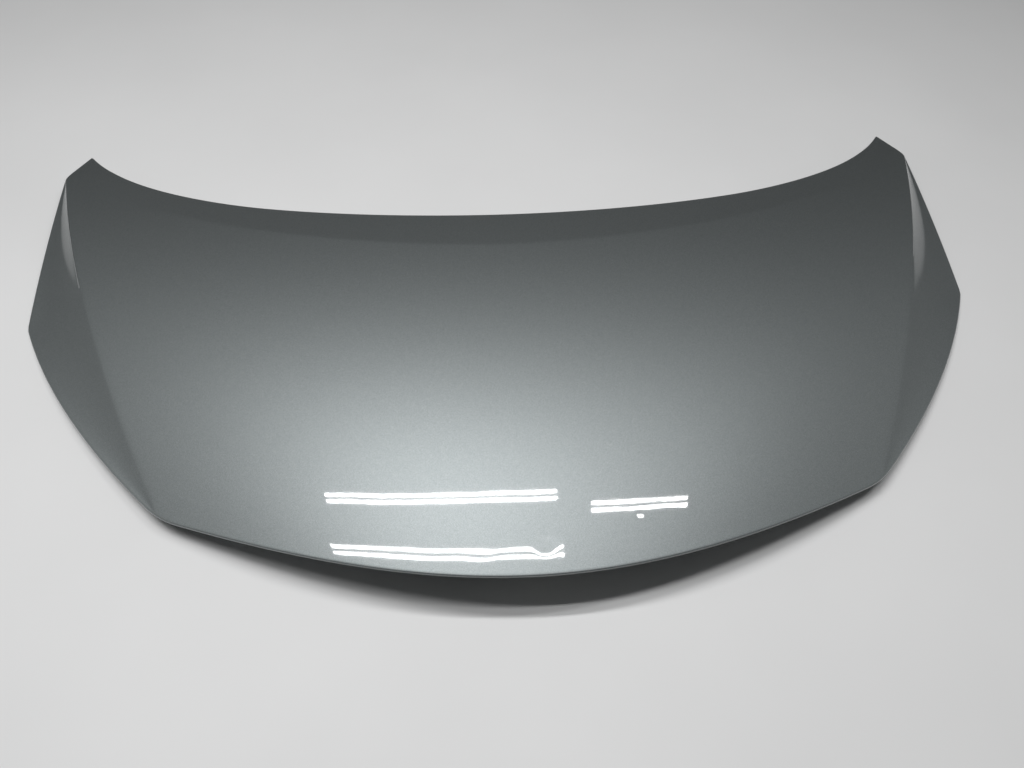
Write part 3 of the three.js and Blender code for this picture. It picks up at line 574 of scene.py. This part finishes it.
# plan of the half face inside the hem's bend: rows run from the front edge to the windscreen edge
def faceGrid(settings, inset):
    front, lamp, wing, horn, rear = outlineAt(inset)
    side = np.vstack([lamp, wing[1:], horn[1:]])
    sideAt = lambda y: np.interp(y, side[:, 1], side[:, 0])
    frontAt = lambda x: np.interp(x, front[:, 0], front[:, 1])
    rearAt = lambda x: np.interp(x, rear[::-1, 0], rear[::-1, 1])
    corner, shoulder, tip = lamp[0], horn[0], horn[-1]
    crowding = settings["columnCrowding"]
    s = np.sin(np.linspace(0, 1, settings["columns"] + 1) * crowding) / math.sin(crowding)
    w = np.linspace(0, 1, settings["facetColumns"] + 1)[1:]
    w = w - settings["facetCrowding"] * np.sin(math.pi * w) / math.pi
    t = np.linspace(0, 1, settings["rows"] + 1)[:, None]
    t = t - settings["rowCrowding"] * np.sin(2 * math.pi * t) / (2 * math.pi)
    foldX = s * shoulder[0]
    foldY = np.minimum(rearEdge(foldX) - bandDepth(foldX), rearAt(foldX) - 1e-3)
    foldY[-1] = shoulder[1]
    sideY = blend(corner[1], shoulder[1], t)
    edgeX = sideAt(sideY)
    creased = np.minimum(creaseX(sideY), edgeX)
    y = blend(frontAt(s * corner[0]), foldY, t)
    y[:, -1:] = sideY
    x = np.hstack([s * creased, creased + w * (edgeX - creased)])
    y = np.hstack([y, np.repeat(sideY, len(w), axis=1)])
    v = np.linspace(0, 1, settings["bandRows"] + 1)[1:, None]
    hornY = blend(shoulder[1], tip[1], v)
    endY = rearAt(s * tip[0])
    endY[-1] = tip[1]
    bandX, bandY = s * sideAt(hornY), blend(foldY, endY, v)
    bandY[:, -1:] = hornY
    x = np.vstack([x, np.hstack([bandX, np.repeat(bandX[:, -1:], len(w), axis=1)])])
    y = np.vstack([y, np.hstack([bandY, np.repeat(hornY, len(w), axis=1)])])
    return x, y


# rings of points round the face's border follow a section of (distance inwards, depth below the face): half
# a turn, the cuff folded under, its round end, and back inside to the face's underside
def makeSkin(settings):
    radius, thickness, under = settings["hemThickness"] / 2, settings["thickness"], settings["hemThickness"]
    x, y = faceGrid(settings, radius)
    top = np.column_stack([x.ravel(), y.ravel(), skinHeight(x, y).ravel()])
    number = np.arange(x.size).reshape(x.shape)
    rim = np.concatenate([number[0], number[1:, -1], number[-1, settings["columns"] :: -1][1:]])
    lines = outlineAt(radius)
    shares = ringShares(top[rim, :2], lines)
    half = np.linspace(0, math.pi, settings["bendSteps"] + 1)
    inner, lip = radius - thickness, thickness / 2
    cuffEnd = settings["hemReturn"] - lip
    turn = np.linspace(0, math.pi, 5)[1:]
    sections = np.vstack([
        np.column_stack([radius - radius * np.sin(half), radius - radius * np.cos(half)])[1:],
        [(distance, under) for distance in (*settings["hemRows"], cuffEnd)],
        np.column_stack([cuffEnd + lip * np.sin(turn), under - lip + lip * np.cos(turn)]),
        [(distance, under - thickness) for distance in settings["hemRows"][::-1]],
        np.column_stack([radius - inner * np.sin(half), radius - inner * np.cos(half)])[:0:-1],
    ])
    rings = [matchedRing(outlineAt(distance), shares) for distance, _ in sections]
    loops = [atDepth(ring, depth) for ring, (_, depth) in zip(rings, sections)]
    points = np.vstack([top, *loops, top - (0, 0, thickness)])
    starts = len(top) + len(rim) * np.arange(len(loops) + 1)
    chain = [rim] + [start + np.arange(len(rim)) for start in starts[:-1]] + [rim + starts[-1]]
    faces = [gridFaces(*x.shape), gridFaces(*x.shape, starts[-1])[:, ::-1]]
    for above, below in zip(chain[:-1], chain[1:]):
        faces.append(np.column_stack([above[:-1], below[:-1], below[1:], above[1:]]))
    return points, np.vstack(faces)


# for each border point, its line and its share of that line's length
def ringShares(points, lines):
    best = np.full(len(points), np.inf)
    place = np.zeros((len(points), 2))
    for k, line in enumerate(lines):
        where = lengthsAlong(line)
        a, b = line[:-1], line[1:]
        along = b - a
        gap = points[:, None] - a
        t = np.clip((gap * along).sum(-1) / np.maximum((along**2).sum(-1), 1e-12), 0, 1)
        off = np.linalg.norm(gap - t[..., None] * along, axis=-1)
        nearest = off.argmin(1)
        pick = np.arange(len(points)), nearest
        share = (where[nearest] + t[pick] * np.diff(where)[nearest]) / where[-1]
        better = off[pick] < best - 1e-6
        best = np.where(better, off[pick], best)
        place[better] = np.column_stack([np.full(len(points), k), share])[better]
    return place


# the points at those shares along the outline moved further in
def matchedRing(lines, shares):
    ring = np.zeros((len(shares), 2))
    for k, line in enumerate(lines):
        mine = shares[:, 0] == k
        ring[mine] = pointsAt(line, shares[mine, 1] * lengthsAlong(line)[-1])
    return ring


count = makePiece("painted_skin", "body_paint", "outer_skin", makeSkin(skin), mirrored=True)
print("stage 4: outer skin,", count, "faces")


# Inner frame: one pressed sheet with a flange in the hem, channels, lips round its cut-outs and flat seats

pressing = {
    "thickness": 0.7,
    "flangeRows": (1.3, 8.0, 15.0),  # from the edge
    "flangeDepth": 1.4,  # depths are below the painted face
    "lipDepth": 4.3,
    "channelDepth": 26.0,
    "floorInsets": (32.0, 26.0, 26.0, 31.0),  # front edge, crease, horn, windscreen edge
    "floorCuts": (30.0, 3.0, 3.0),
    "lipWidth": 12.0,
    "lipWall": 14.0,
    "bendShare": 0.27,  # of a wall's width that each of its two bends takes
    "frontBeam": 112.0,
    "rearBeam": 104.0,
    "sideBeam": 104.0,
    "centreRib": 84.0,
    "braceWidth": 100.0,
    "braceStart": (60.0, -300.0),
    "braceEnd": (18.0, 25.0),  # inboard of the hinge pad's middle and behind it
    "cutoutRadius": 22.0,
    "toolingHole": 20.0,
    "toolingOnBrace": (0.24, 0.5),
    "toolingOnRear": (0.32, 0.85),
    "hingeSeat": ((44.0, 96.0), 9.0, (0.0, 52.0)),  # size, corner radius, spacing of its two bolt holes
    "strikerSeat": ((104.0, 56.0), 12.0, (66.0, 0.0)),
    "boltHole": 8.5,
    "stopSeat": (14.0, 11.0, 6.0),  # radius, hole, height of the barb above it
    "bushSeat": (14.0, 17.0, 5.0),
    "seatWall": 6.0,
    "ringCounts": (80, 70, 60, 16, 100),  # points along each line of the outline
    "floorGrid": 13.0,
    "nearestSeed": 0.55,  # of the grid's width, from an edge
    "wallSteps": 8,
}
seatGap = 0.3  # between pieces that touch
stopPlaces = [f"{end}_{side}" for end in ("front", "side") for side in ("left", "right")]


# a wall's fall at a share of its width: even slope between two parabolic bends
def wallFall(u, bend):
    middle = (u - bend / 2) / (1 - bend)
    start = u**2 / (2 * bend * (1 - bend))
    end = 1 - (1 - u) ** 2 / (2 * bend * (1 - bend))
    return np.where(u < bend, start, np.where(u > 1 - bend, end, middle))


def wholeRing(half):
    return np.vstack([half, half[-2:0:-1] * (-1, 1)])


# closed ring: each outline line, moved inwards, at even spacing
def panelRing(distance, counts):
    lines = outlineAt(distance)
    rows = [evenPoints(line, count) for line, count in zip(lines, counts)]
    return wholeRing(np.vstack([*rows, lines[-1][-1:]]))


# closed ring of the channel floor: front edge, crease and windscreen edge moved inwards, its side points
# at the same shares of the side's length as the flange's
def floorRing(settings):
    front, lamp, wing, horn, rear = outlineLines()
    creaseY = np.concatenate([lamp[:, 1], wing[1:, 1]])
    crease = np.column_stack([creaseX(creaseY), creaseY])
    lines = trimmedLines([front, crease, horn, rear], settings["floorInsets"], settings["floorCuts"])
    front, rear = lines[0], lines[-1]
    side = np.vstack([lines[1], lines[2][1:]])
    flange = outlineAt(settings["flangeRows"][-1])
    counts = settings["ringCounts"]
    lengths = np.array([lengthsAlong(line)[-1] for line in flange[1:4]])
    starts = np.concatenate([[0], np.cumsum(lengths)])
    along = [start + length * np.arange(n) / n for start, length, n in zip(starts, lengths, counts[1:4])]
    shares = np.concatenate(along) / starts[-1]
    onSide = pointsAt(side, shares * lengthsAlong(side)[-1])
    rows = [evenPoints(front, counts[0]), onSide, evenPoints(rear, counts[4]), rear[-1:]]
    return wholeRing(np.vstack(rows))


# polygon with round corners grown outwards: arcs about the fillets' centres joined by straight stretches
def roundedLoop(corners, radius, grow=0.0, arcSteps=14, spacing=9.0):
    corners = np.asarray(corners, float)
    arrive = corners - np.roll(corners, 1, axis=0)
    leave = np.roll(corners, -1, axis=0) - corners
    enter = np.arctan2(arrive[:, 1], arrive[:, 0])
    turn = (np.arctan2(leave[:, 1], leave[:, 0]) - enter) % (2 * math.pi)
    back = radius * np.tan(turn / 2)
    centres = corners - back[:, None] * np.column_stack([np.cos(enter), np.sin(enter)])
    centres += radius * np.column_stack([-np.sin(enter), np.cos(enter)])
    angles = enter[:, None] + turn[:, None] * np.linspace(0, 1, arcSteps + 1) - math.pi / 2
    arcs = centres[:, None] + (radius + grow) * np.stack([np.cos(angles), np.sin(angles)], axis=-1)
    rows = []
    for k, arc in enumerate(arcs):
        following = arcs[(k + 1) % len(arcs)]
        gap = np.linalg.norm(centres[(k + 1) % len(arcs)] - centres[k])
        pieces = max(int(gap / spacing), 1)
        rows += [arc, blend(arc[-1], following[0], (np.arange(1, pieces) / pieces)[:, None])]
    return np.vstack(rows)


def circleLoop(x, y, radius, count=40):
    turn = fullTurn(count)
    return np.column_stack([x + radius * np.cos(turn), y + radius * np.sin(turn)])


def rectangle(x, y, width, length):
    return np.array([(x, y)]) + np.array([(-1, -1), (1, -1), (1, 1), (-1, 1)]) * (width / 2, length / 2)


def flippedLoop(loop):
    return loop[::-1] * (-1, 1)


def insideLoop(points, loop):
    a, b = loop, np.roll(loop, -1, axis=0)
    x, y = points[:, :1], points[:, 1:]
    spans = (a[:, 1] > y) != (b[:, 1] > y)
    rise = np.where(b[:, 1] == a[:, 1], 1e-12, b[:, 1] - a[:, 1])
    return (spans & (x < a[:, 0] + (y - a[:, 1]) / rise * (b[:, 0] - a[:, 0]))).sum(1) % 2 == 1


# triangles over a region with holes, with a staggered grid of points inside it
def fillRegion(contour, holes, grid):
    low, high = contour.min(0), contour.max(0)
    rowHeight = grid * 0.87  # near equilateral
    x, y = np.meshgrid(np.arange(low[0], high[0], grid), np.arange(low[1], high[1], rowHeight))
    x = x + (np.arange(len(x)) % 2)[:, None] * grid / 2
    seeds = np.column_stack([x.ravel(), y.ravel()])

    def within(points):
        inside = insideLoop(points, contour)
        for hole in holes:
            inside &= ~insideLoop(points, hole)
        return inside

    seeds = seeds[within(seeds)]
    edge = np.vstack([contour, *holes])
    apart = np.linalg.norm(seeds[:, None] - edge[None], axis=-1).min(1)
    points = np.vstack([edge, seeds[apart > grid * pressing["nearestSeed"]]])
    edges, start = [], 0
    for loop in (contour, *holes):
        number = start + np.arange(len(loop))
        edges.append(np.column_stack([number, np.roll(number, -1)]))
        start += len(loop)
    edges = [tuple(edge) for edge in np.vstack(edges).tolist()]
    cut = delaunay_2d_cdt([Vector(p) for p in points], edges, [], 0, 1e-6, True)
    back = np.array([same[0] for same in cut[3]])
    faces = back[np.array(cut[2])]
    return points, faces[within(points[faces].mean(1))]


# sheet: surfaces joined by their equal points, kept as triangles that face upwards
class Sheet:
    def __init__(self):
        self.points, self.faces, self.count = [], [], 0

    def add(self, points, faces):
        self.points.append(points)
        self.faces.append(facingUp(points, faces) + self.count)
        self.count += len(points)

    def band(self, rings):
        quads = gridFaces(len(rings), len(rings[0]), closed=True)
        self.add(np.vstack(rings), np.vstack([quads[:, [0, 3, 2]], quads[:, [0, 2, 1]]]))

    # closed body: the sheet, its copy lowered by the thickness, and walls along its free edges
    def thickened(self, thickness):
        points, faces = np.vstack(self.points), np.vstack(self.faces)
        kept, same = np.unique(np.round(points, 3), axis=0, return_inverse=True)
        faces = same.reshape(-1)[faces]
        flat = (faces[:, 0] == faces[:, 1]) | (faces[:, 1] == faces[:, 2]) | (faces[:, 2] == faces[:, 0])
        faces = faces[~flat]
        edges = np.vstack([faces[:, [0, 1]], faces[:, [1, 2]], faces[:, [2, 0]]])
        paired = np.unique(np.sort(edges, axis=1), axis=0, return_inverse=True, return_counts=True)
        free = edges[paired[2][paired[1].reshape(-1)] == 1]
        n = len(kept)
        wall = np.vstack([
            np.column_stack([free[:, 1], free[:, 0], free[:, 0] + n]),
            np.column_stack([free[:, 1], free[:, 0] + n, free[:, 1] + n]),
        ])
        return np.vstack([kept, kept - (0, 0, thickness)]), np.vstack([faces, faces[:, ::-1] + n, wall])


# lowest and highest corner of a solid, and its middle in plan
def boxOf(node):
    low, high = (np.array(corner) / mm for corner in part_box(node))
    return low, high, (low[:2] + high[:2]) / 2


# flat seats: outline for a growth, bolt or stop holes, and the level that the piece on them gives
def seatList(settings):
    seats = []
    trays = [("hinge_reinforcement_left", "hingeSeat"), ("hinge_reinforcement_right", "hingeSeat")]
    for node, kind in trays + [("striker_reinforcement", "strikerSeat")]:
        low, _, middle = boxOf(node)
        size, radius, spacing = settings[kind]
        corners = rectangle(*middle, *size)
        places = [middle + side * np.array(spacing) / 2 for side in (-1, 1)]
        holes = [circleLoop(*place, settings["boltHole"] / 2) for place in places]
        loop = lambda grow, corners=corners, radius=radius: roundedLoop(corners, radius, grow, 8)
        seats.append((loop, holes, low[2] - seatGap))
    stops = [(f"rubber_buffer_{place}", "stopSeat") for place in stopPlaces]
    for node, kind in stops + [("prop_rod_bush", "bushSeat")]:
        _, high, (x, y) = boxOf(node)
        radius, hole, barb = settings[kind]
        loop = lambda grow, x=x, y=y, radius=radius: circleLoop(x, y, radius + grow, 48)
        seats.append((loop, [loop(hole / 2 - radius)], high[2] - barb - seatGap))
    return seats


# first place where a rising or falling function crosses zero
def rootOf(f, low, high):
    at = np.linspace(low, high, 4001)
    values = f(at)
    k = np.nonzero(np.sign(values[:-1]) != np.sign(values[1:]))[0][0]
    return at[k] - values[k] * (at[k + 1] - at[k]) / (values[k + 1] - values[k])


# corners of the two cut-outs of the right half, between rib, beams and diagonal brace, and the brace's ends
def cutoutCorners(settings):
    _, _, hinge = boxOf("hinge_reinforcement_right")
    start = np.array(settings["braceStart"])
    end = hinge + np.array(settings["braceEnd"]) * (-1, 1)
    slope = (end[0] - start[0]) / (end[1] - start[1])
    offset = settings["braceWidth"] / 2 * math.hypot(1, slope)
    braceSide = lambda y, side: start[0] + (y - start[1]) * slope + side * offset
    rib = settings["centreRib"] / 2
    rearLine = lambda x: rearEdge(x) - settings["rearBeam"]
    frontLine = lambda x: frontEdge(x) + settings["frontBeam"]
    sideLine = lambda y: creaseX(y) - settings["sideBeam"]
    nose, cowl, rear = panel["noseY"], panel["cowlY"], panel["shoulder"][1]
    tipY = rootOf(lambda y: braceSide(y, -1) - rib, nose, cowl)
    cornerY = rootOf(lambda y: y - rearLine(braceSide(y, -1)), tipY, rear)
    inner = [(rib, tipY), (braceSide(cornerY, -1), cornerY), (rib, rearLine(rib))]
    startY = rootOf(lambda y: y - frontLine(braceSide(y, 1)), nose, cowl)
    frontX = rootOf(lambda x: x - sideLine(frontLine(x)), 0, panel["frontCorner"][0])
    apexY = rootOf(lambda y: braceSide(y, 1) - sideLine(y), startY, rear)
    outer = [(braceSide(startY, 1), startY), (frontX, frontLine(frontX)), (braceSide(apexY, 1), apexY)]
    return inner, outer, (start, end)


def toolingLoops(settings, inner, brace):
    onBrace = [blend(*brace, t) for t in settings["toolingOnBrace"]]
    _, outerEnd, ribEnd = (np.array(corner) for corner in inner)
    onRear = []
    for t in settings["toolingOnRear"]:
        x, y = blend(ribEnd, outerEnd, t)
        cutoutSide = y + settings["lipWidth"] + settings["lipWall"]
        onRear.append((x, (rearEdge(x) - settings["floorInsets"][-1] + cutoutSide) / 2))
    loops = [circleLoop(x, y, settings["toolingHole"] / 2) for x, y in onBrace + onRear]
    return loops + [flippedLoop(loop) for loop in loops]


# bands of rings from the hem's flange down to the floor and from each lip and seat to it, then the floor
# itself between them all
def makePressing(settings):
    sheet = Sheet()
    counts, depth, grid = settings["ringCounts"], settings["channelDepth"], settings["floorGrid"]
    shares = np.linspace(0, 1, settings["wallSteps"] + 1)
    falls = wallFall(shares, settings["bendShare"])
    flange = [panelRing(distance, counts) for distance in settings["flangeRows"]]
    sheet.band([atDepth(ring, settings["flangeDepth"]) for ring in flange])
    floor = floorRing(settings)
    depths = blend(settings["flangeDepth"], depth, falls)
    sheet.band([atDepth(blend(flange[-1], floor, u), below) for u, below in zip(shares, depths)])
    inner, outer, brace = cutoutCorners(settings)
    holes = toolingLoops(settings, inner, brace)
    lipWidth, lipDepth = settings["lipWidth"], settings["lipDepth"]
    growths = [0.0, lipWidth / 2, *(lipWidth + shares * settings["lipWall"])]
    depths = [lipDepth, lipDepth, *blend(lipDepth, depth, falls)]
    for corners in (inner, outer):
        loops = [roundedLoop(corners, settings["cutoutRadius"], grow) for grow in growths]
        for rings in (loops, [flippedLoop(loop) for loop in loops]):
            sheet.band([atDepth(ring, below) for ring, below in zip(rings, depths)])
            holes.append(rings[-1])
    for loop, seatHoles, level in seatList(settings):
        rings = [loop(settings["seatWall"] * (1 - u)) for u in shares]
        floors = [skinHeight(*ring.T) - depth for ring in rings]
        heights = [blend(z, level, fall) for z, fall in zip(floors, falls)]
        sheet.band([np.column_stack([ring, z]) for ring, z in zip(rings, heights)])
        points, faces = fillRegion(rings[-1], seatHoles, grid)
        sheet.add(atLevel(points, level), faces)
        holes.append(rings[0])
    points, faces = fillRegion(floor, holes, grid)
    sheet.add(atDepth(points, depth), faces)
    return sheet.thickened(settings["thickness"])


count = makePiece("pressed_frame", "inner_paint", "inner_frame", makePressing(pressing), sharpDegrees=50)
print("stage 5: inner frame,", count, "faces")


# Striker: a round wire bent into a loop below its plate, with two flanged bolts

striker = {
    "wire": 9.0,
    "wireRoom": 0.3,  # round the wire in its plate
    "bend": 12.0,
    "span": 34.0,
    "straight": 6.0,  # before a bend
    "around": 40,
    "along": 16,  # per bend
    "plateInset": (4.0, 5.0),  # from the seat's edge
    "plateRound": 9.0,
    "plateEdge": 0.6,
    "plateGrid": 12.0,
}
bolt = {
    "acrossFlats": 13.0,
    # radius, which cuts the hexagon on the head, and depth below the seat
    "head": [(0, 5.5), (5.2, 5.5), (6.3, 5.35), (7.6, 4.6), (7.6, 2.2)],
    "flange": [(7.9, 1.9), (8.8, 1.2), (9.0, 0.9), (9.0, 0.0), (3.7, 0.0)],
    "plain": 4.0,  # shank without thread
    "crest": 3.7,
    "root": 3.2,
    "pitch": 1.25,
    "point": (2.9, 1.0),  # radius, length
    "around": 96,
}


# wire: a circle carried down one leg, round two bends and up the other, its ends closed by flat discs
def makeLoop(settings, y, top):
    half, bend, radius = settings["span"] / 2, settings["bend"], settings["wire"] / 2
    turn = np.linspace(0, math.pi / 2, settings["along"])
    arc = np.column_stack([half - bend + bend * np.cos(turn), radius + bend * (1 - np.sin(turn))])
    right = np.vstack([[(half, top), (half, radius + bend + settings["straight"])], arc])
    path = np.vstack([right, right[::-1] * (-1, 1)])
    _, normal = directions(path)
    angle = fullTurn(settings["around"])
    out = path[:, None] + radius * np.cos(angle)[None, :, None] * normal[:, None]
    depth = np.broadcast_to(y + radius * np.sin(angle), out.shape[:2])
    points = np.stack([out[..., 0], depth, out[..., 1]], axis=-1).reshape(-1, 3)
    first = np.arange(settings["around"])
    wall = gridFaces(*depth.shape, closed=True)[:, ::-1]
    return points, [*wall, first, (first + len(points) - len(first))[::-1]]


# turned shape: each row's radii, one for each angle, and its height carried round a vertical axis; a row of
# zero radii closes an end
def turned(x, y, rows, around):
    angle = fullTurn(around)
    radius = np.array([np.broadcast_to(np.maximum(row, 0), around) for row, _ in rows])
    height = np.broadcast_to(np.array([z for _, z in rows], float)[:, None], radius.shape)
    points = np.stack([x + radius * np.cos(angle), y + radius * np.sin(angle), height], axis=-1)
    return points.reshape(-1, 3), gridFaces(*radius.shape, closed=True)


# flanged hexagon bolt: the head's radius at an angle is (across / 2) / cos(angle from its flat), cut by a
# cone into the chamfer; above its flange a shank with rolled thread rings
def makeBolt(settings, x, y, seat, tip):
    angle = fullTurn(settings["around"])
    sixth = math.pi / 3
    hexagon = settings["acrossFlats"] / 2 / np.cos((angle + sixth / 2) % sixth - sixth / 2)
    rows = [(np.minimum(hexagon, radius), seat - depth) for radius, depth in settings["head"]]
    rows += [(radius, seat - depth) for radius, depth in settings["flange"]]
    crest, root, pitch = settings["crest"], settings["root"], settings["pitch"]
    start, (point, pointLength) = seat + settings["plain"], settings["point"]
    turns = int((tip - start - pointLength) / pitch)
    for k in range(turns):
        rows += [(crest, start + k * pitch), (root, start + (k + 0.5) * pitch)]
    rows += [(crest, start + turns * pitch), (point, tip), (0, tip)]
    return turned(x, y, rows, settings["around"])


# plate: its outline's rounded edge as rings, faces filled between outline and holes, and the holes' walls
def makePlate(settings, loop, holes, low, high):
    edge = settings["plateEdge"]
    turn = np.linspace(0, math.pi, 9)
    foot, head = low + edge - edge * np.cos(turn[:4]), high - edge - edge * np.cos(turn[5:])
    levels = [*foot, (low + high) / 2, *head]
    rings = [atLevel(loop(-edge * (1 - math.sin(a))), z) for a, z in zip(turn, levels)]
    plan, inside = fillRegion(loop(-edge), holes, settings["plateGrid"])
    inside = facingUp(plan, inside)
    points, faces = np.vstack(rings), [*gridFaces(len(rings), len(rings[0]), closed=True)]
    for z, order in ((low, -1), (high, 1)):
        faces += [*(inside[:, ::order] + len(points))]
        points = np.vstack([points, atLevel(plan, z)])
    for hole in holes:
        faces += [*gridFaces(2, len(hole), len(points), closed=True)[:, ::-1]]
        points = np.vstack([points, atLevel(hole, low), atLevel(hole, high)])
    return points, faces


plateLow, plateHigh, (_, strikerY) = boxOf("striker_plate")
seatSize, _, (boltSpacing, _) = pressing["strikerSeat"]
plateSize = np.array(seatSize) - 2 * np.array(striker["plateInset"])
plateLoop = lambda grow: roundedLoop(rectangle(0, strikerY, *plateSize), striker["plateRound"], grow, 10)
plateHoles = [
    circleLoop(side * spacing / 2, strikerY, radius)
    for spacing, radius in (
        (striker["span"], striker["wire"] / 2 + striker["wireRoom"]),
        (boltSpacing, pressing["boltHole"] / 2),
    )
    for side in (-1, 1)
]
plate = makePlate(striker, plateLoop, plateHoles, plateLow[2], plateHigh[2])
makePiece("striker_base", "zinc_steel", "striker_plate", plate, sharpDegrees=35)
wire = makeLoop(striker, strikerY, plateHigh[2])
makePiece("striker_wire", "zinc_steel", "striker_loop", wire, sharpDegrees=50)
for side, sign in (("left", -1), ("right", 1)):
    node = f"striker_bolt_{side}"
    tip = boxOf(node)[1][2]
    shape = makeBolt(bolt, sign * boltSpacing / 2, strikerY, plateLow[2] - seatGap, tip)
    makePiece(f"flanged_bolt_{side}", "zinc_steel", node, shape, sharpDegrees=35)
print("stage 6: striker")


# Rubber stops and the prop rod's bush, turned about their own axes

stop = {
    "head": 13.0,
    "height": 9.0,
    "edge": 3.2,
    "backEdge": 0.8,
    "dimple": [(0.0, 1.2), (4.0, 1.2), (4.6, 0.9)],  # radius and height over the bearing face
    "dimpleEdge": [(5.0, 0.2), (5.2, 0.0), (5.8, 0.0)],
    "neck": 5.2,
    "barb": 7.2,
    "barbEdge": (0.4, 0.5),
    "barbTip": [(7.2, 1.2), (4.16, 5.4), (3.64, 6.0), (0.0, 6.0)],  # radius and height over its foot
}
bush = {
    "flange": 12.0,
    "flangeHeight": 2.5,
    "edge": 1.2,
    "bore": 4.5,
    "neck": 8.2,
    "barb": 9.6,
    "barbTip": [(9.6, 1.0), (6.0, 5.0), (4.5, 5.0)],
}


# half sections of (radius, height) from the bearing face up through the seat to the barb's tip
def stopProfile(settings, under, top):
    low, head = under - settings["height"], settings["head"]
    edge, back = settings["edge"], settings["backEdge"]
    neck, barb, (inwards, upwards) = settings["neck"], settings["barb"], settings["barbEdge"]
    return np.vstack([
        np.array(settings["dimple"]) + (0, low),
        fillet(*(np.array(settings["dimpleEdge"]) + (0, low)), 3),
        fillet((head - edge, low), (head, low), (head, low + edge)),
        fillet((head, under - back), (head, under), (head - back, under), 3),
        [(neck, under), (neck, top)],
        fillet((barb - inwards, top), (barb, top), (barb, top + upwards), 3),
        np.array(settings["barbTip"]) + (0, top),
    ])


def bushProfile(settings, under, top):
    low, flange = under - settings["flangeHeight"], settings["flange"]
    edge, bore = settings["edge"], settings["bore"]
    return np.vstack([
        fillet((bore, low + edge), (bore, low), (bore + edge, low)),
        fillet((flange - edge, low), (flange, low), (flange, low + edge)),
        [(flange, under), (settings["neck"], under), (settings["neck"], top), (settings["barb"], top)],
        np.array(settings["barbTip"]) + (0, top),
        [(bore, low + edge)],
    ])


rubber = ("black_rubber", stopProfile, stop, "stopSeat")
plugs = [(f"rubber_stop_{place}", f"rubber_buffer_{place}", *rubber) for place in stopPlaces]
plugs.append(("prop_bush", "prop_rod_bush", "black_plastic", bushProfile, bush, "bushSeat"))
for name, node, slot, makeProfile, settings, seat in plugs:
    _, high, (x, y) = boxOf(node)
    level = high[2] - pressing[seat][2] - seatGap
    profile = makeProfile(settings, level - pressing["thickness"] - seatGap, level + seatGap)
    makePiece(name, slot, node, turned(x, y, profile, 64), sharpDegrees=40)
print("stage 7: rubber stops and bush")


# Stage and light

stageSettings = {
    "floor": (0.77, 0.77, 0.77),
    "darker": 0.96,  # its darker patches
    "patches": 3,  # per metre
    "roughness": 0.6,
    "size": 30.0,  # metres
}


def addStage(settings):
    material, tree, shader, place = newMaterial("studio_floor")
    low = tuple(settings["darker"] * c for c in settings["floor"])
    patches = noise(tree, place, settings["patches"], 4.0)
    tone = ramp(tree, patches, low, settings["floor"])
    setInputs(tree, shader, {"Base Color": tone, "Roughness": settings["roughness"]})
    reach = settings["size"] / 2
    mesh = bpy.data.meshes.new("studio_floor")
    corners = [(x * reach, y * reach, 0) for x, y in ((-1, -1), (1, -1), (1, 1), (-1, 1))]
    mesh.from_pydata(corners, [], [(0, 1, 2, 3)])
    mesh.materials.append(material)
    addObject("studio_floor", mesh)


lampSettings = {
    "height": 2300.0,
    "tubeWidth": 23.0,
    "tubeSpacing": 51.0,
    "fittings": [  # middle, length, turn in degrees, watts for each metre of a tube
        ((-563.0, 83.0), 1812.0, 0.8, 7.5),
        ((1045.0, -20.0), 866.0, -1.7, 6.8),
        ((-602.0, -313.0), 1932.0, 0.9, 4.3),
    ],
}


# slim tubes in pairs, as fitted under a ceiling
def addLamps(settings):
    for k, ((x, y), length, turn, watts) in enumerate(settings["fittings"]):
        for side in (-1, 1):
            data = bpy.data.lights.new(f"tube_{k}_{side}", "AREA")
            data.shape = "RECTANGLE"
            data.size = length * mm
            data.size_y = settings["tubeWidth"] * mm
            data.energy = watts * length * mm
            lamp = addObject(data.name, data)
            lamp.location = Vector((x, y + side * settings["tubeSpacing"] / 2, settings["height"])) * mm
            lamp.rotation_euler.z = math.radians(turn)


worldSettings = {
    "tint": (0.97, 1.0, 1.0),
    "ambient": 0.01,
    "glows": [  # towards, power, strength
        ((-0.9, -0.05, 0.45), 10.0, 0.42),
        ((0.9, -0.05, 0.45), 10.0, 0.4),
        ((0.0, 1.0, 0.25), 6.0, 0.06),
    ],
    "backdrop": 1.0,
}


# Soft light: a dim room with broad glows, each strength * (direction . towards)^power; what the camera
# sees past the floor is plain white
def addWorld(settings):
    world = bpy.data.worlds.new("studio_light")
    world.use_nodes = True
    tree = world.node_tree
    tree.nodes.clear()
    outwards = addNode(tree, "TexCoord").outputs["Generated"]
    total = settings["ambient"]
    for towards, power, strength in settings["glows"]:
        towards = Vector(towards).normalized()
        dot = mathNode(tree, "DOT_PRODUCT", outwards, towards, kind="VectorMath")
        lobe = mathNode(tree, "POWER", mathNode(tree, "MAXIMUM", dot, 0.0), power)
        total = mathNode(tree, "MULTIPLY_ADD", lobe, strength, total)
    light = addNode(tree, "Background", {"Color": (*settings["tint"], 1), "Strength": total})
    pale = addNode(tree, "Background", {"Strength": settings["backdrop"]})
    seen = addNode(tree, "LightPath").outputs["Is Camera Ray"]
    shades = {0: seen, 1: light.outputs["Background"], 2: pale.outputs["Background"]}
    choose = addNode(tree, "MixShader", shades)
    addNode(tree, "OutputWorld", {"Surface": choose.outputs["Shader"]})
    bpy.context.scene.world = world


addStage(stageSettings)
addLamps(lampSettings)
addWorld(worldSettings)
bpy.context.scene.view_settings.view_transform = "Standard"
print("stage 8: floor and light")
